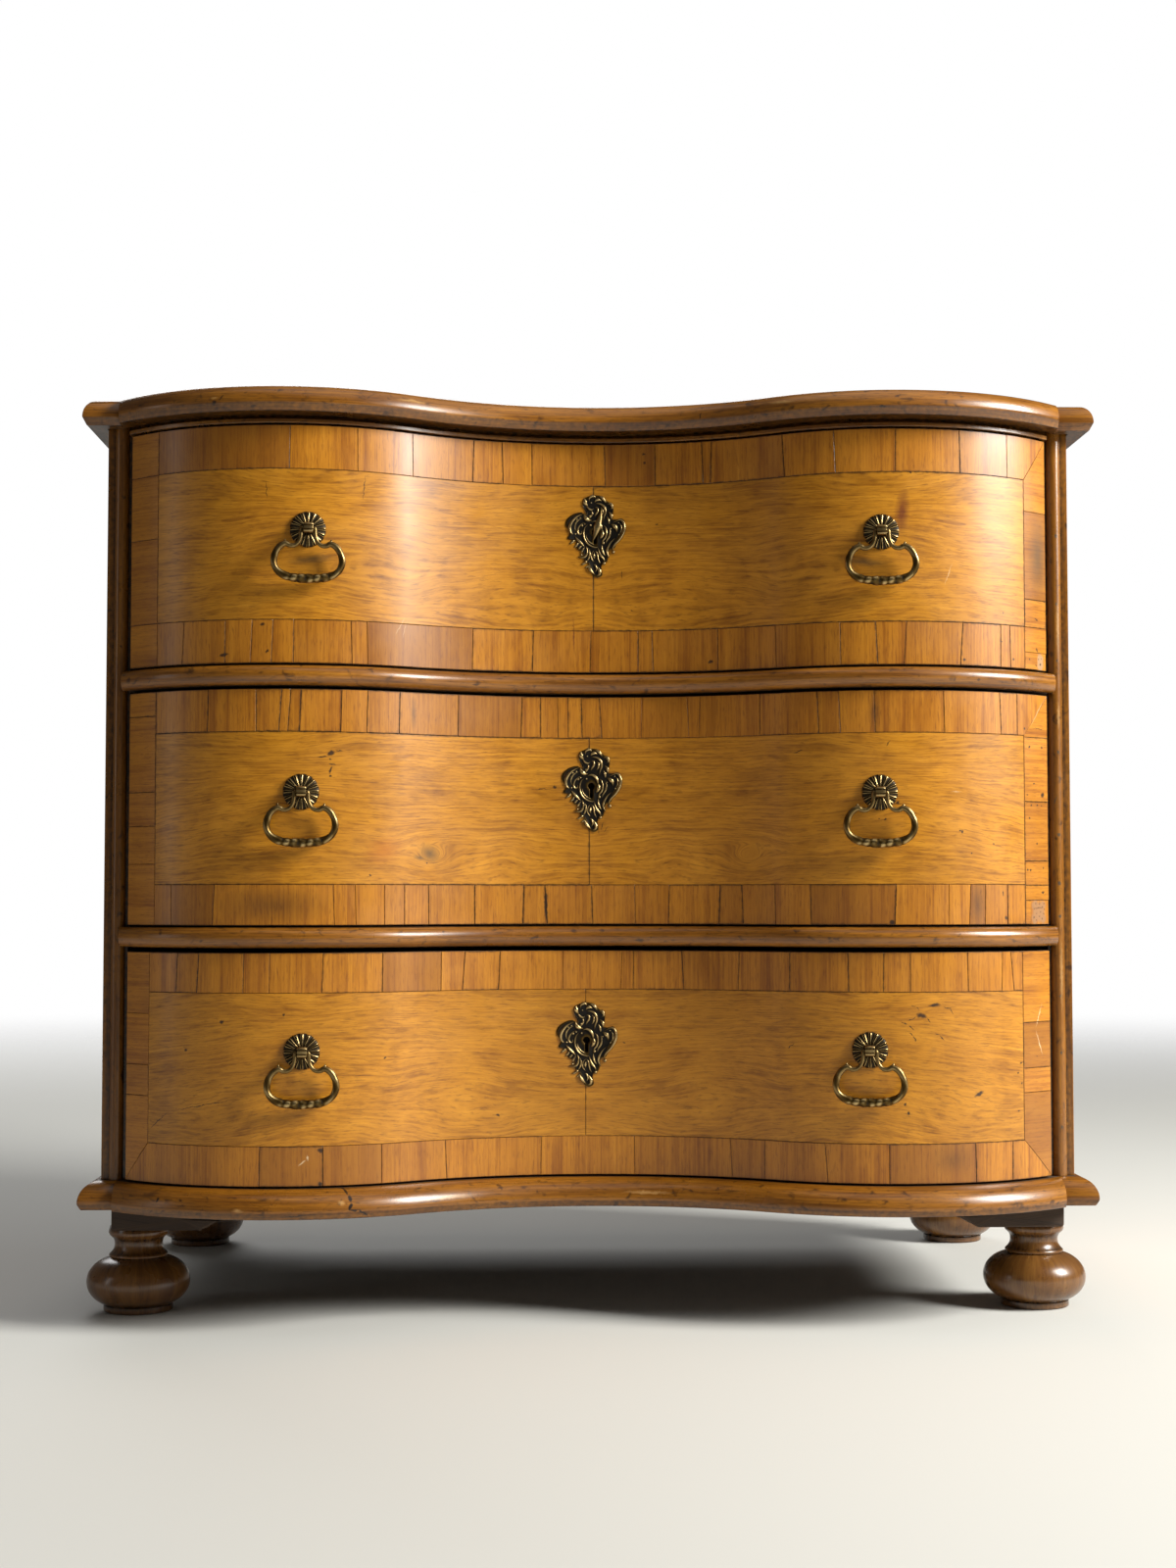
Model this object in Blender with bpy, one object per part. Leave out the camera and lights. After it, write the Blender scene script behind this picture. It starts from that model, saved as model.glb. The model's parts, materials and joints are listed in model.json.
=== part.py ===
"""Serpentine chest of three drawers on bun feet, in metres, +Z up.

The front's plan is a line of tangent arcs: a hollow in the middle and a bulge on each side. Every
serpentine piece follows that line, or a parallel of it. Depths are measured back from the plane in
which the drawers' front corners lie, and an empty carries them to the part's own origin, which is
the centre of its footprint on the floor.
"""
import math

import bmesh
import bpy

# General
GAP = 0.0003                    # clearance between pieces that touch
OVERRUN = 0.003                 # how far a cutter runs past the face that it opens
ROUND_ANGLE = math.radians(35)  # edges flatter than this are shaded smooth

# Plan of the front
DRAWER_HALF_WIDTH = 0.457
BULGE_PLACE = 0.303             # from the middle to each bulge's peak
BULGE_REACH = 0.0621            # peak ahead of the drawers' corners
HOLLOW_DEPTH = 0.0269           # middle behind the drawers' corners
HOLLOW_STEPS = 6                # straight steps from the middle to the hollow's end
INNER_STEPS = 6                 # from there to the bulge's peak
OUTER_STEPS = 7                 # from the peak to the drawers' corner

# Carcase
HEIGHT = 0.912                  # floor to the top board's upper face
CARCASE_DEPTH = 0.573
SIDE_THICKNESS = 0.024
DRAWER_SIDE_PLAY = 0.003        # between a drawer's end and the post beside it
POST_DEPTH = 0.043
POST_FRONT = 0.0155             # depth of the post's flat front, behind its bead
BEAD_RADIUS = 0.007
BEAD_QUIRK = 0.0025             # flat strip between the drawer's side of the post and its bead
BEAD_STEPS = 8
RAIL_DEPTH = 0.083              # depth of the top rail
DIVIDER_THICKNESS = 0.020
TOP_RAIL_THICKNESS = 0.016
TOP_THICKNESS = 0.018
BASE_THICKNESS = 0.027
BACK_THICKNESS = 0.0115
BACK_REBATE = 0.008             # how far the back boards reach into each side
BACK_BOARDS = 3                 # boards glued edge to edge, with a shallow groove at each joint
BACK_GROOVE_WIDTH = 0.002
BACK_GROOVE_DEPTH = 0.003

# Mouldings
MOULDING_SEAT = 0.002           # backs of the front mouldings ahead of the drawers' line
TOP_OVERHANG = 0.026
TOP_MOULDING_HEIGHT = 0.026
TOP_LIP_HEIGHT = 0.008          # slanted band under the top moulding's round
TOP_LIP_INSET = 0.004
TOP_ROUND_START = 0.008         # flat strip on top before the round begins
BASE_OVERHANG = 0.0215
BASE_TIP_HEIGHT = 0.007
BASE_TIP_INSET = 0.003
SIDE_TRIM = 0.003               # how much less the mouldings reach at the sides
ROUND_STEPS = 6
EAR_LAP = 0.0168                # length of the ear's inner edge along the post's front
DIVIDER_BEAD_REACH = 0.0102
DIVIDER_BEAD_LAP = 0.009        # how far the dividers' beads run past the drawers' ends
DIVIDER_BEAD_STEPS = 6
RAIL_LIP_REACH = 0.004
RAIL_LIP_HEIGHT = 0.0035
RAIL_COVE_HEIGHT = 0.004

# Feet
FOOT_HEIGHT = 0.085
FOOT_SIDE_INSET = 0.027         # from the sides' outer faces to the feet's centres
FRONT_FOOT_DEPTH = 0.080
BACK_FOOT_INSET = 0.053         # from the carcase's back to the back feet's centres
PAD_RADIUS = 0.0345
BUN_CORE = 0.022                # radius of the circle that the bun's half ellipse turns round
BUN_SWELL = 0.030               # the half ellipse's half width
BUN_STEPS = 8
RING_RADIUS = 0.0285
NECK_RADIUS = 0.0243
COLLAR_RADIUS = 0.0270
COLLAR_FLARE = 0.0300
TENON_RADIUS = 0.012
# Heights on a foot, as shares of the foot's own.
FOOT_SHARES = {
    "pad": 0.0706,              # top of the pad
    "bun": 0.3529,              # the bun's widest line
    "half_bun": 0.2882,         # half height of the bun's ellipse
    "ring": 0.7118,             # upper edge of the ring on the bun
    "neck": 0.8118,             # lower end of the straight neck
    "collar_low": 0.8941,
    "collar_high": 0.9647,
}
FOOT_SIDES = 24
FOOT_RAIL_THICKNESS = 0.027
FOOT_RAIL_WIDTH = 0.111
FOOT_RAIL_INSET = 0.007         # foot rails' outer faces inside the sides'
FOOT_RAIL_FRONT = 0.030         # depth of the foot rails' front ends
FOOT_RAIL_BEVEL_WIDTH = 0.022   # slope along the rails' inner lower edges
FOOT_RAIL_BEVEL_HEIGHT = 0.012

# Drawers: clearance over the front, handles below the front's top, the left and right handle
# inward of the bulges' peaks, and the keyhole right of the middle
DRAWERS = {
    "lower": (0.0045, 0.0944, 0.023, 0.035, -0.004),
    "middle": (0.0030, 0.1000, 0.021, 0.024, 0.001),
    "upper": (0.0015, 0.1025, 0.026, 0.021, 0.005),
}
# The openings' heights in proportion to each other: together they fill what the case leaves.
OPENING_SHARES = {"lower": 0.3283, "middle": 0.3341, "upper": 0.3376}
FRONT_THICKNESS = 0.024
FRONT_LIFT = 0.0018             # front's lower edge above the opening's floor
BLOCK_INNER = 0.020             # width of the square block at each end of a front
BLOCK_BACK = 0.041              # depth of that block's back face
DRAWER_SIDE_THICKNESS = 0.012
DRAWER_SIDE_INSET = 0.001       # sides' outer faces inside the front's ends
DRAWER_SIDE_DROP = 0.012        # sides' upper edges below the front's
DRAWER_BACK_DROP = 0.006        # back's upper edge below the sides'
DRAWER_BACK_THICKNESS = 0.012
DRAWER_BACK_CLEARANCE = 0.001
DRAWER_BOTTOM_THICKNESS = 0.008
DRAWER_BOTTOM_LIFT = 0.007
GROOVE_DEPTH = 0.005
TAIL_LENGTH = 0.020
TAIL_MARGIN = 0.022             # from a side's lower and upper edge to its outer tails
TAIL_ROOT = 0.022
TAIL_FLARE = 0.003
TAILS = 4

# Locks
KEYHOLE_DROP = 0.0940           # keyhole below the front's top
KEYHOLE_RADIUS = 0.0037
KEYHOLE_SLOT = 0.0036
KEYHOLE_HEIGHT = 0.0158
KEYHOLE_SIDES = 10
LOCK_WIDTH = 0.076
LOCK_THICKNESS = 0.014
LOCK_INSET = 0.006
LOCK_BELOW_KEYHOLE = 0.032
LOCK_TOP_DROP = 0.001
BOLT_WIDTH = 0.024
BOLT_THICKNESS = 0.005
BOLT_LENGTH = 0.060
BOLT_TOP_DROP = 0.0005
MORTISE_DEPTH = 0.010
MORTISE_PLAY = 0.001

# Escutcheons
ESCUTCHEON_WIDTH = 0.060
ESCUTCHEON_HEIGHT = 0.084
ESCUTCHEON_EDGE = 0.0014
ESCUTCHEON_THICKNESS = 0.0030
RELIEF_SHARE = 0.84             # size of the raised field as a share of the outline
# The silhouette, clockwise from the crest, as shares of the half width and the half height.
ESCUTCHEON_SHARES = (
    (-0.02, 1.00), (0.20, 0.98), (0.36, 0.88), (0.50, 0.80), (0.62, 0.70), (0.60, 0.55),
    (0.55, 0.44), (0.72, 0.40), (0.88, 0.43), (1.00, 0.34), (0.99, 0.20), (0.84, 0.02),
    (0.72, -0.14), (0.66, -0.28), (0.48, -0.34), (0.44, -0.50), (0.40, -0.62), (0.26, -0.66),
    (0.20, -0.80), (0.24, -0.94), (0.08, -1.00), (-0.08, -0.94), (-0.14, -0.80), (-0.24, -0.66),
    (-0.38, -0.58), (-0.42, -0.40), (-0.62, -0.30), (-0.66, -0.12), (-0.94, -0.06), (-0.86, 0.08),
    (-1.00, 0.26), (-0.94, 0.42), (-0.72, 0.54), (-0.46, 0.58), (-0.32, 0.50), (-0.28, 0.62),
    (-0.42, 0.74), (-0.40, 0.90), (-0.22, 0.97),
)

# Handles
ROSE_RADIUS = 0.0175
ROSE_SCALLOP = 0.0012
ROSE_RIM = 0.0018
ROSE_DOME = 0.0058
ROSE_LOBES = 16
ROSE_CROWN_SHARE = 0.45         # radius of the dome's crown as a share of the rose's
SHANK_RADIUS = 0.0025
SHANK_SIDES = 8
RIVET_RADIUS = 0.0055           # shank's head, riveted over inside the drawer
RIVET_THICKNESS = 0.0025
RIVET_CLEARANCE = 0.0008        # from the front's inner face, measured on its true curve
KNUCKLE_HALF_WIDTH = 0.0046
KNUCKLE_HALF_HEIGHT = 0.0050
PIVOT_REACH = 0.0130            # pivot ahead of the drawer's face
KNUCKLE_NOSE = 0.0042           # knuckle ahead of the pivot
PIN_RADIUS = 0.0013
PIN_HOLE_RADIUS = 0.0016
PIN_END = 0.0008                # from the middle to each pin's end
PIN_SIDES = 8
BAIL_SIDES = 8
BAIL_HALF_WIDTH = 0.0343
BAIL_HEIGHT = 0.0500
ROD_RADIUS = 0.0023
GRIP_RADIUS = 0.0042
# Right half of the bail from its arm's top to its grip's middle: shares of the half width and of
# the height, and the rod's thickness as a share of the way from the rod's radius to the grip's.
BAIL_SHARES = (
    (0.22, -0.03, 0.0), (0.22, -0.16, 0.0), (0.25, -0.27, 0.0), (0.37, -0.345, 0.0),
    (0.54, -0.355, 0.0), (0.70, -0.30, 0.10), (0.85, -0.37, 0.0), (0.96, -0.50, 0.0),
    (1.00, -0.66, 0.0), (0.96, -0.82, 0.1), (0.82, -0.93, 0.3), (0.58, -0.98, 0.6),
    (0.28, -1.00, 0.9), (0.00, -1.00, 1.0),
)

# Worked out from the sizes above
BULGE_RADIUS = ((DRAWER_HALF_WIDTH - BULGE_PLACE) ** 2 + BULGE_REACH ** 2) / (2 * BULGE_REACH)
SWING = BULGE_REACH + HOLLOW_DEPTH
HOLLOW_RADIUS = (BULGE_PLACE ** 2 + SWING ** 2) / (2 * SWING) - BULGE_RADIUS
BULGE_CENTRE = BULGE_RADIUS - BULGE_REACH
HOLLOW_CENTRE = HOLLOW_DEPTH - HOLLOW_RADIUS
LEAN = math.asin(BULGE_PLACE / (BULGE_RADIUS + HOLLOW_RADIUS))
CORNER_ANGLE = math.asin((DRAWER_HALF_WIDTH - BULGE_PLACE) / BULGE_RADIUS)
ORIGIN_Y = (BULGE_REACH + TOP_OVERHANG - CARCASE_DEPTH) / 2

SIDE_INNER = DRAWER_HALF_WIDTH + DRAWER_SIDE_PLAY + GAP
SIDE_OUTER = SIDE_INNER + SIDE_THICKNESS
FOOT_PLACE_X = SIDE_OUTER - FOOT_SIDE_INSET
BASE_LEVEL = FOOT_HEIGHT + FOOT_RAIL_THICKNESS
FLOOR_LEVEL = BASE_LEVEL + BASE_THICKNESS
TOP_LEVEL = HEIGHT - TOP_THICKNESS
RAIL_LEVEL = TOP_LEVEL - TOP_RAIL_THICKNESS
DIVIDERS_HEIGHT = (len(DRAWERS) - 1) * DIVIDER_THICKNESS
OPENINGS_HEIGHT = RAIL_LEVEL - FLOOR_LEVEL - DIVIDERS_HEIGHT
ALL_SHARES = sum(OPENING_SHARES.values())
OPENINGS = {name: OPENINGS_HEIGHT * share / ALL_SHARES for name, share in OPENING_SHARES.items()}
LEVELS = {}
level = FLOOR_LEVEL
for name, opening in OPENINGS.items():
    LEVELS[name] = level
    level += opening + DIVIDER_THICKNESS

POST_TOP = TOP_LEVEL - GAP
EAR_DEPTH = POST_FRONT - BEAD_RADIUS - GAP
BACK_FACE = CARCASE_DEPTH - BACK_THICKNESS
DRAWER_SIDE_OUTER = DRAWER_HALF_WIDTH - DRAWER_SIDE_INSET
DRAWER_SIDE_INNER = DRAWER_SIDE_OUTER - DRAWER_SIDE_THICKNESS
DRAWER_END = BACK_FACE - DRAWER_BACK_CLEARANCE
DRAWER_BACK_FACE = DRAWER_END - DRAWER_BACK_THICKNESS
LOCK_SEAT = HOLLOW_DEPTH + FRONT_THICKNESS - LOCK_INSET
BOLT_DEPTH = LOCK_SEAT + LOCK_THICKNESS / 2

FINISHES = {
    "figured_walnut": ((0.46, 0.23, 0.06), 0.30, 0.0),
    "moulding_walnut": ((0.36, 0.17, 0.05), 0.32, 0.0),
    "dark_walnut": ((0.13, 0.06, 0.025), 0.40, 0.0),
    "rough_pine": ((0.16, 0.09, 0.045), 0.75, 0.0),
    "drawer_pine": ((0.50, 0.33, 0.17), 0.65, 0.0),
    "aged_brass": ((0.42, 0.30, 0.12), 0.35, 1.0),
    "wrought_iron": ((0.09, 0.08, 0.075), 0.55, 1.0),
}


def clear_scene():
    for obj in list(bpy.data.objects):
        bpy.data.objects.remove(obj, do_unlink=True)


def own_material(name, finish):
    colour, roughness, metallic = FINISHES[finish]
    material = bpy.data.materials.new(f"{name}_{finish}")
    material.use_nodes = True
    shader = material.node_tree.nodes["Principled BSDF"]
    shader.inputs["Base Color"].default_value = (*colour, 1.0)
    shader.inputs["Roughness"].default_value = roughness
    shader.inputs["Metallic"].default_value = metallic
    return material


def add_empty(name, location):
    empty = bpy.data.objects.new(name, None)
    empty.location = location
    bpy.context.scene.collection.objects.link(empty)
    return empty


def skin(shapes, smooth):
    """Mesh of closed shapes. Each shape is a row of equal sections, joined and capped at both ends."""
    bm = bmesh.new()
    for sections in shapes:
        rings = [[bm.verts.new(point) for point in section] for section in sections]
        for near, far in zip(rings, rings[1:]):
            for i, corner in enumerate(near):
                bm.faces.new((near[i - 1], corner, far[i], far[i - 1]))
        bm.faces.new(rings[0])
        bm.faces.new(rings[-1])
    bmesh.ops.triangulate(bm, faces=[face for face in bm.faces if len(face.verts) == 4])
    bmesh.ops.recalc_face_normals(bm, faces=bm.faces)
    mesh = bpy.data.meshes.new("shape")
    bm.to_mesh(mesh)
    bm.free()
    if smooth:
        mesh.shade_smooth()
        mesh.set_sharp_from_angle(angle=ROUND_ANGLE)
    return mesh


def add_piece(name, shapes, finish, parent, smooth=False, location=(0, 0, 0), turn=0.0):
    obj = bpy.data.objects.new(name, skin(shapes, smooth))
    obj.data.materials.append(own_material(name, finish))
    obj.location = location
    obj.rotation_euler[2] = turn
    obj.parent = parent
    bpy.context.scene.collection.objects.link(obj)
    return obj


def add_cutter(name, shapes, parent, location=(0, 0, 0), turn=0.0):
    cutter = bpy.data.objects.new(name, skin(shapes, False))
    cutter.location = location
    cutter.rotation_euler[2] = turn
    cutter.parent = parent
    cutter.hide_render = True
    cutter.display_type = "WIRE"
    bpy.context.scene.collection.objects.link(cutter)
    return cutter


def combine(obj, other, operation="DIFFERENCE"):
    modifier = obj.modifiers.new(other.name, "BOOLEAN")
    modifier.operation = operation
    modifier.solver = "EXACT"
    modifier.object = other


def spread(first, last, steps):
    """Evenly spaced values from first to last."""
    return [first + (last - first) * i / steps for i in range(steps + 1)]


def upright(outline, low, high):
    """Prism over a plan outline."""
    return [[(x, y, z) for x, y in outline] for z in (low, high)]


def crosswise(outline, left, right):
    """Prism along X over an outline of depths and heights."""
    return [[(x, y, z) for y, z in outline] for x in (left, right)]


def box(x, y, z):
    """Box over three pairs of limits."""
    outline = [(x[0], y[0]), (x[1], y[0]), (x[1], y[1]), (x[0], y[1])]
    return upright(outline, *z)


def turned(profile, sides, centre=(0.0, 0.0)):
    """Turning about a vertical axis, from a profile of radii and heights."""
    angles = [math.tau * i / sides for i in range(sides)]
    return [
        [(centre[0] + r * math.cos(a), centre[1] + r * math.sin(a), z) for a in angles]
        for r, z in profile
    ]


def turned_forward(profile, sides, centre=(0.0, 0.0)):
    """Turning about an axis along Y, from a profile of radii and depths."""
    angles = [math.tau * i / sides for i in range(sides)]
    return [
        [(centre[0] + r * math.cos(a), y, centre[1] + r * math.sin(a)) for a in angles]
        for r, y in profile
    ]


def mirrored(shape):
    return [[(-x, y, z) for x, y, z in section] for section in shape]


def front_line(offset, half_width):
    """Plan points of the front's parallel at an offset, from left to right, cut at a half width."""
    bulge = BULGE_RADIUS + offset
    hollow = HOLLOW_RADIUS - offset
    end = math.asin((half_width - BULGE_PLACE) / bulge)
    half = [
        (hollow * math.sin(a), HOLLOW_CENTRE + hollow * math.cos(a))
        for a in spread(0, LEAN, HOLLOW_STEPS)
    ]
    if end > CORNER_ANGLE:
        outer_angles = spread(0, CORNER_ANGLE, OUTER_STEPS) + [end]
    else:
        outer_angles = spread(0, end, OUTER_STEPS + 1)
    bulge_angles = spread(-LEAN, 0, INNER_STEPS)[1:] + outer_angles[1:]
    half += [
        (BULGE_PLACE + bulge * math.sin(a), BULGE_CENTRE - bulge * math.cos(a))
        for a in bulge_angles
    ]
    return [(-x, y) for x, y in reversed(half[1:])] + half


def front_lean(x):
    """Angle about Z that squares a fitting to the bulge at x."""
    lean = math.asin((abs(x) - BULGE_PLACE) / BULGE_RADIUS)
    return math.copysign(1, x) * lean


def front_depth(x):
    """Depth of the bulge's face at x."""
    return BULGE_CENTRE - math.sqrt(BULGE_RADIUS ** 2 - (abs(x) - BULGE_PLACE) ** 2)


def step_depth(x):
    """Depth of the front's straight steps at x, for a plate that is bent to follow them."""
    line = front_line(0.0, DRAWER_HALF_WIDTH)
    for (x0, y0), (x1, y1) in zip(line, line[1:]):
        if x <= x1:
            return y0 + (y1 - y0) * (x - x0) / (x1 - x0)
    return line[-1][1]


def along_front(profile, half_width):
    """Moulding of a profile of offsets and heights, each carried on its own parallel of the front."""
    lines = [front_line(offset, half_width) for offset, height in profile]
    return [
        [(*line[i], height) for line, (offset, height) in zip(lines, profile)]
        for i in range(len(lines[0]))
    ]


def round_corner(profile, side_face, ear_depth, ear_end, back):
    """Moulding of a profile along a side, mitred round the front corner into a square ear."""
    behind = [(side_face + offset, back, height) for offset, height in profile]
    corner = [(side_face + offset, ear_depth - offset, height) for offset, height in profile]
    ear = [(ear_end, ear_depth - offset, height) for offset, height in profile]
    return [behind, corner, ear]


def top_profile(seat, trim):
    """Thumbnail: flat on top, an elliptic round to the tip, a slanted lip, flat underneath."""
    low = HEIGHT - TOP_MOULDING_HEIGHT
    tip = seat + TOP_OVERHANG - MOULDING_SEAT - trim
    start = seat + TOP_ROUND_START
    rise = TOP_MOULDING_HEIGHT - TOP_LIP_HEIGHT
    rounding = [
        (start + (tip - start) * math.sin(a), low + TOP_LIP_HEIGHT + rise * math.cos(a))
        for a in spread(0, math.pi / 2, ROUND_STEPS)
    ]
    return [(seat, low), (seat, HEIGHT), *rounding, (tip - TOP_LIP_INSET, low)]


def base_profile(seat, trim):
    """Quarter round with a low blunt tip, flat underneath."""
    tip = seat + BASE_OVERHANG - trim
    rise = BASE_THICKNESS - BASE_TIP_HEIGHT
    rounding = [
        (seat + (tip - seat) * math.sin(a), BASE_LEVEL + BASE_TIP_HEIGHT + rise * math.cos(a))
        for a in spread(0, math.pi / 2, ROUND_STEPS)
    ]
    return [(seat, BASE_LEVEL), *rounding, (tip - BASE_TIP_INSET, BASE_LEVEL)]


def half_round(low, high):
    """Half-round bead on the drawers' line, between two heights."""
    middle = (low + high) / 2
    rise = (high - low) / 2
    return [
        (GAP + DIVIDER_BEAD_REACH * math.cos(a), middle + rise * math.sin(a))
        for a in spread(-math.pi / 2, math.pi / 2, DIVIDER_BEAD_STEPS)
    ]


def add_mouldings(parent):
    """Top and base mouldings: one serpentine length in front, one with an ear on each side."""
    ear_end = SIDE_OUTER - EAR_LAP
    side_face = SIDE_OUTER + GAP
    for part, profile in (("top", top_profile), ("base", base_profile)):
        front = along_front(profile(MOULDING_SEAT, 0.0), ear_end - GAP)
        side = round_corner(profile(0.0, SIDE_TRIM), side_face, EAR_DEPTH, ear_end, CARCASE_DEPTH)
        add_piece(f"{part}_front_moulding", [front], "moulding_walnut", parent, smooth=True)
        add_piece(f"{part}_right_moulding", [side], "moulding_walnut", parent, smooth=True)
        add_piece(f"{part}_left_moulding", [mirrored(side)], "moulding_walnut", parent, smooth=True)


def post_outline():
    """Plan of the right post: a bead between a quirk and a narrow outer fillet."""
    centre = SIDE_INNER + BEAD_QUIRK + BEAD_RADIUS
    bead = [
        (centre - BEAD_RADIUS * math.cos(a), POST_FRONT - BEAD_RADIUS * math.sin(a))
        for a in spread(0, math.pi, BEAD_STEPS)
    ]
    corners = [(SIDE_OUTER, POST_FRONT), (SIDE_OUTER, POST_DEPTH), (SIDE_INNER, POST_DEPTH)]
    return [(SIDE_INNER, POST_FRONT), *bead, *corners]


def add_posts(parent):
    post = upright(post_outline(), FLOOR_LEVEL + GAP, POST_TOP)
    add_piece("right_corner_post", [post], "moulding_walnut", parent, smooth=True)
    add_piece("left_corner_post", [mirrored(post)], "moulding_walnut", parent, smooth=True)


def add_sides(parent):
    """Side panels behind the posts, rebated for the back boards."""
    rebate = SIDE_INNER + BACK_REBATE
    outline = [
        (SIDE_INNER, POST_DEPTH + GAP), (SIDE_OUTER, POST_DEPTH + GAP), (SIDE_OUTER, CARCASE_DEPTH),
        (rebate, CARCASE_DEPTH), (rebate, BACK_FACE - GAP), (SIDE_INNER, BACK_FACE - GAP),
    ]
    panel = upright(outline, BASE_LEVEL, POST_TOP)
    add_piece("right_side", [panel], "figured_walnut", parent)
    add_piece("left_side", [mirrored(panel)], "figured_walnut", parent)


def add_back(parent):
    """Back in its rebates: boards lying one above another, with a groove outside at each joint."""
    reach = SIDE_INNER + BACK_REBATE - GAP
    pitch = (TOP_LEVEL - BASE_LEVEL) / BACK_BOARDS
    half_groove = BACK_GROOVE_WIDTH / 2
    outline = [(BACK_FACE, BASE_LEVEL), (CARCASE_DEPTH, BASE_LEVEL)]
    for i in range(1, BACK_BOARDS):
        joint = BASE_LEVEL + i * pitch
        outline += [
            (CARCASE_DEPTH, joint - half_groove), (CARCASE_DEPTH - BACK_GROOVE_DEPTH, joint),
            (CARCASE_DEPTH, joint + half_groove),
        ]
    outline += [(CARCASE_DEPTH, POST_TOP), (BACK_FACE, POST_TOP)]
    add_piece("back_panel", [crosswise(outline, -reach, reach)], "rough_pine", parent)


def add_top(parent):
    """Top board, whose front edge carries the serpentine moulding."""
    line = front_line(MOULDING_SEAT - GAP, SIDE_OUTER - EAR_LAP)
    corner = EAR_DEPTH + GAP
    outline = [
        (-SIDE_OUTER, CARCASE_DEPTH), (-SIDE_OUTER, corner), (line[0][0], corner), *line[1:-1],
        (line[-1][0], corner), (SIDE_OUTER, corner), (SIDE_OUTER, CARCASE_DEPTH),
    ]
    add_piece("top_board", [upright(outline, TOP_LEVEL, HEIGHT)], "figured_walnut", parent)


def add_bottom(parent):
    """Bottom board between the sides, with front corners that carry the posts."""
    line = front_line(MOULDING_SEAT - GAP, SIDE_OUTER - EAR_LAP)
    corner = EAR_DEPTH + GAP
    inner = SIDE_INNER - GAP
    back = BACK_FACE - GAP
    outline = [
        (-inner, back), (-inner, POST_DEPTH), (-SIDE_OUTER, POST_DEPTH), (-SIDE_OUTER, corner),
        (line[0][0], corner), *line[1:-1], (line[-1][0], corner),
        (SIDE_OUTER, corner), (SIDE_OUTER, POST_DEPTH), (inner, POST_DEPTH), (inner, back),
    ]
    add_piece("bottom_board", [upright(outline, BASE_LEVEL, FLOOR_LEVEL)], "rough_pine", parent)


def divider_shape(low, high):
    """Full-depth divider between the sides: serpentine in front, straight behind."""
    half_width = SIDE_INNER - GAP
    back = BACK_FACE - GAP
    outline = [(-half_width, back), *front_line(0.0, half_width), (half_width, back)]
    return upright(outline, low, high)


def top_rail_shape():
    """Top rail, straight behind, with a lip and a hollow chamfer along its lower front edge."""
    lip_high = RAIL_LEVEL + RAIL_LIP_HEIGHT
    profile = [
        (0.0, TOP_LEVEL - GAP), (0.0, lip_high + RAIL_COVE_HEIGHT),
        (RAIL_LIP_REACH, lip_high), (RAIL_LIP_REACH, RAIL_LEVEL),
    ]
    return [
        section + [(section[0][0], RAIL_DEPTH, RAIL_LEVEL), (section[0][0], RAIL_DEPTH, TOP_LEVEL - GAP)]
        for section in along_front(profile, SIDE_INNER - GAP)
    ]


def mortise_shape(rail_low):
    """Hollow for a lock's bolt in the rail above it."""
    half_width = BOLT_WIDTH / 2 + MORTISE_PLAY
    half_depth = BOLT_THICKNESS / 2 + MORTISE_PLAY
    return box(
        (-half_width, half_width),
        (BOLT_DEPTH - half_depth, BOLT_DEPTH + half_depth),
        (rail_low - OVERRUN, rail_low + MORTISE_DEPTH),
    )


def add_rails(parent):
    """Two full-depth dividers that the drawers run on, their beads, and the top rail with its lip."""
    bead_centre = SIDE_INNER + BEAD_QUIRK + BEAD_RADIUS
    for name, above in (("lower", "middle"), ("upper", "upper")):
        high = LEVELS[above]
        low = high - DIVIDER_THICKNESS
        divider = add_piece(f"{name}_divider", [divider_shape(low, high)], "rough_pine", parent)
        combine(divider, add_cutter(f"{name}_divider_mortise", [mortise_shape(low)], parent))
        bead = along_front(half_round(low, high), DRAWER_HALF_WIDTH + DIVIDER_BEAD_LAP)
        moulding = add_piece(
            f"{name}_divider_moulding", [bead], "moulding_walnut", parent, smooth=True)
        cope = turned(
            [(BEAD_RADIUS + GAP, low - OVERRUN), (BEAD_RADIUS + GAP, high + OVERRUN)],
            2 * BEAD_STEPS, (bead_centre, POST_FRONT))
        combine(moulding, add_cutter(f"{name}_divider_copes", [cope, mirrored(cope)], parent))
    rail = add_piece("top_rail", [top_rail_shape()], "moulding_walnut", parent)
    combine(rail, add_cutter("top_rail_mortise", [mortise_shape(RAIL_LEVEL)], parent))


def foot_profile():
    """Pad, bun, ring, waisted neck, collar and tenon, from the floor up."""
    heights = {name: share * FOOT_HEIGHT for name, share in FOOT_SHARES.items()}
    low = -math.acos((PAD_RADIUS - BUN_CORE) / BUN_SWELL)
    high = math.acos((RING_RADIUS - BUN_CORE) / BUN_SWELL)
    bun = [
        (BUN_CORE + BUN_SWELL * math.cos(a), heights["bun"] + heights["half_bun"] * math.sin(a))
        for a in spread(low, high, BUN_STEPS)
    ]
    top = FOOT_HEIGHT - GAP
    return [
        (PAD_RADIUS, 0.0), (PAD_RADIUS, heights["pad"]), *bun[1:],
        (RING_RADIUS, heights["ring"]), (NECK_RADIUS, heights["neck"]),
        (NECK_RADIUS, heights["collar_low"]), (COLLAR_RADIUS, heights["collar_low"]),
        (COLLAR_FLARE, heights["collar_high"]), (COLLAR_FLARE, top),
        (TENON_RADIUS, top), (TENON_RADIUS, BASE_LEVEL - GAP),
    ]


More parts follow.
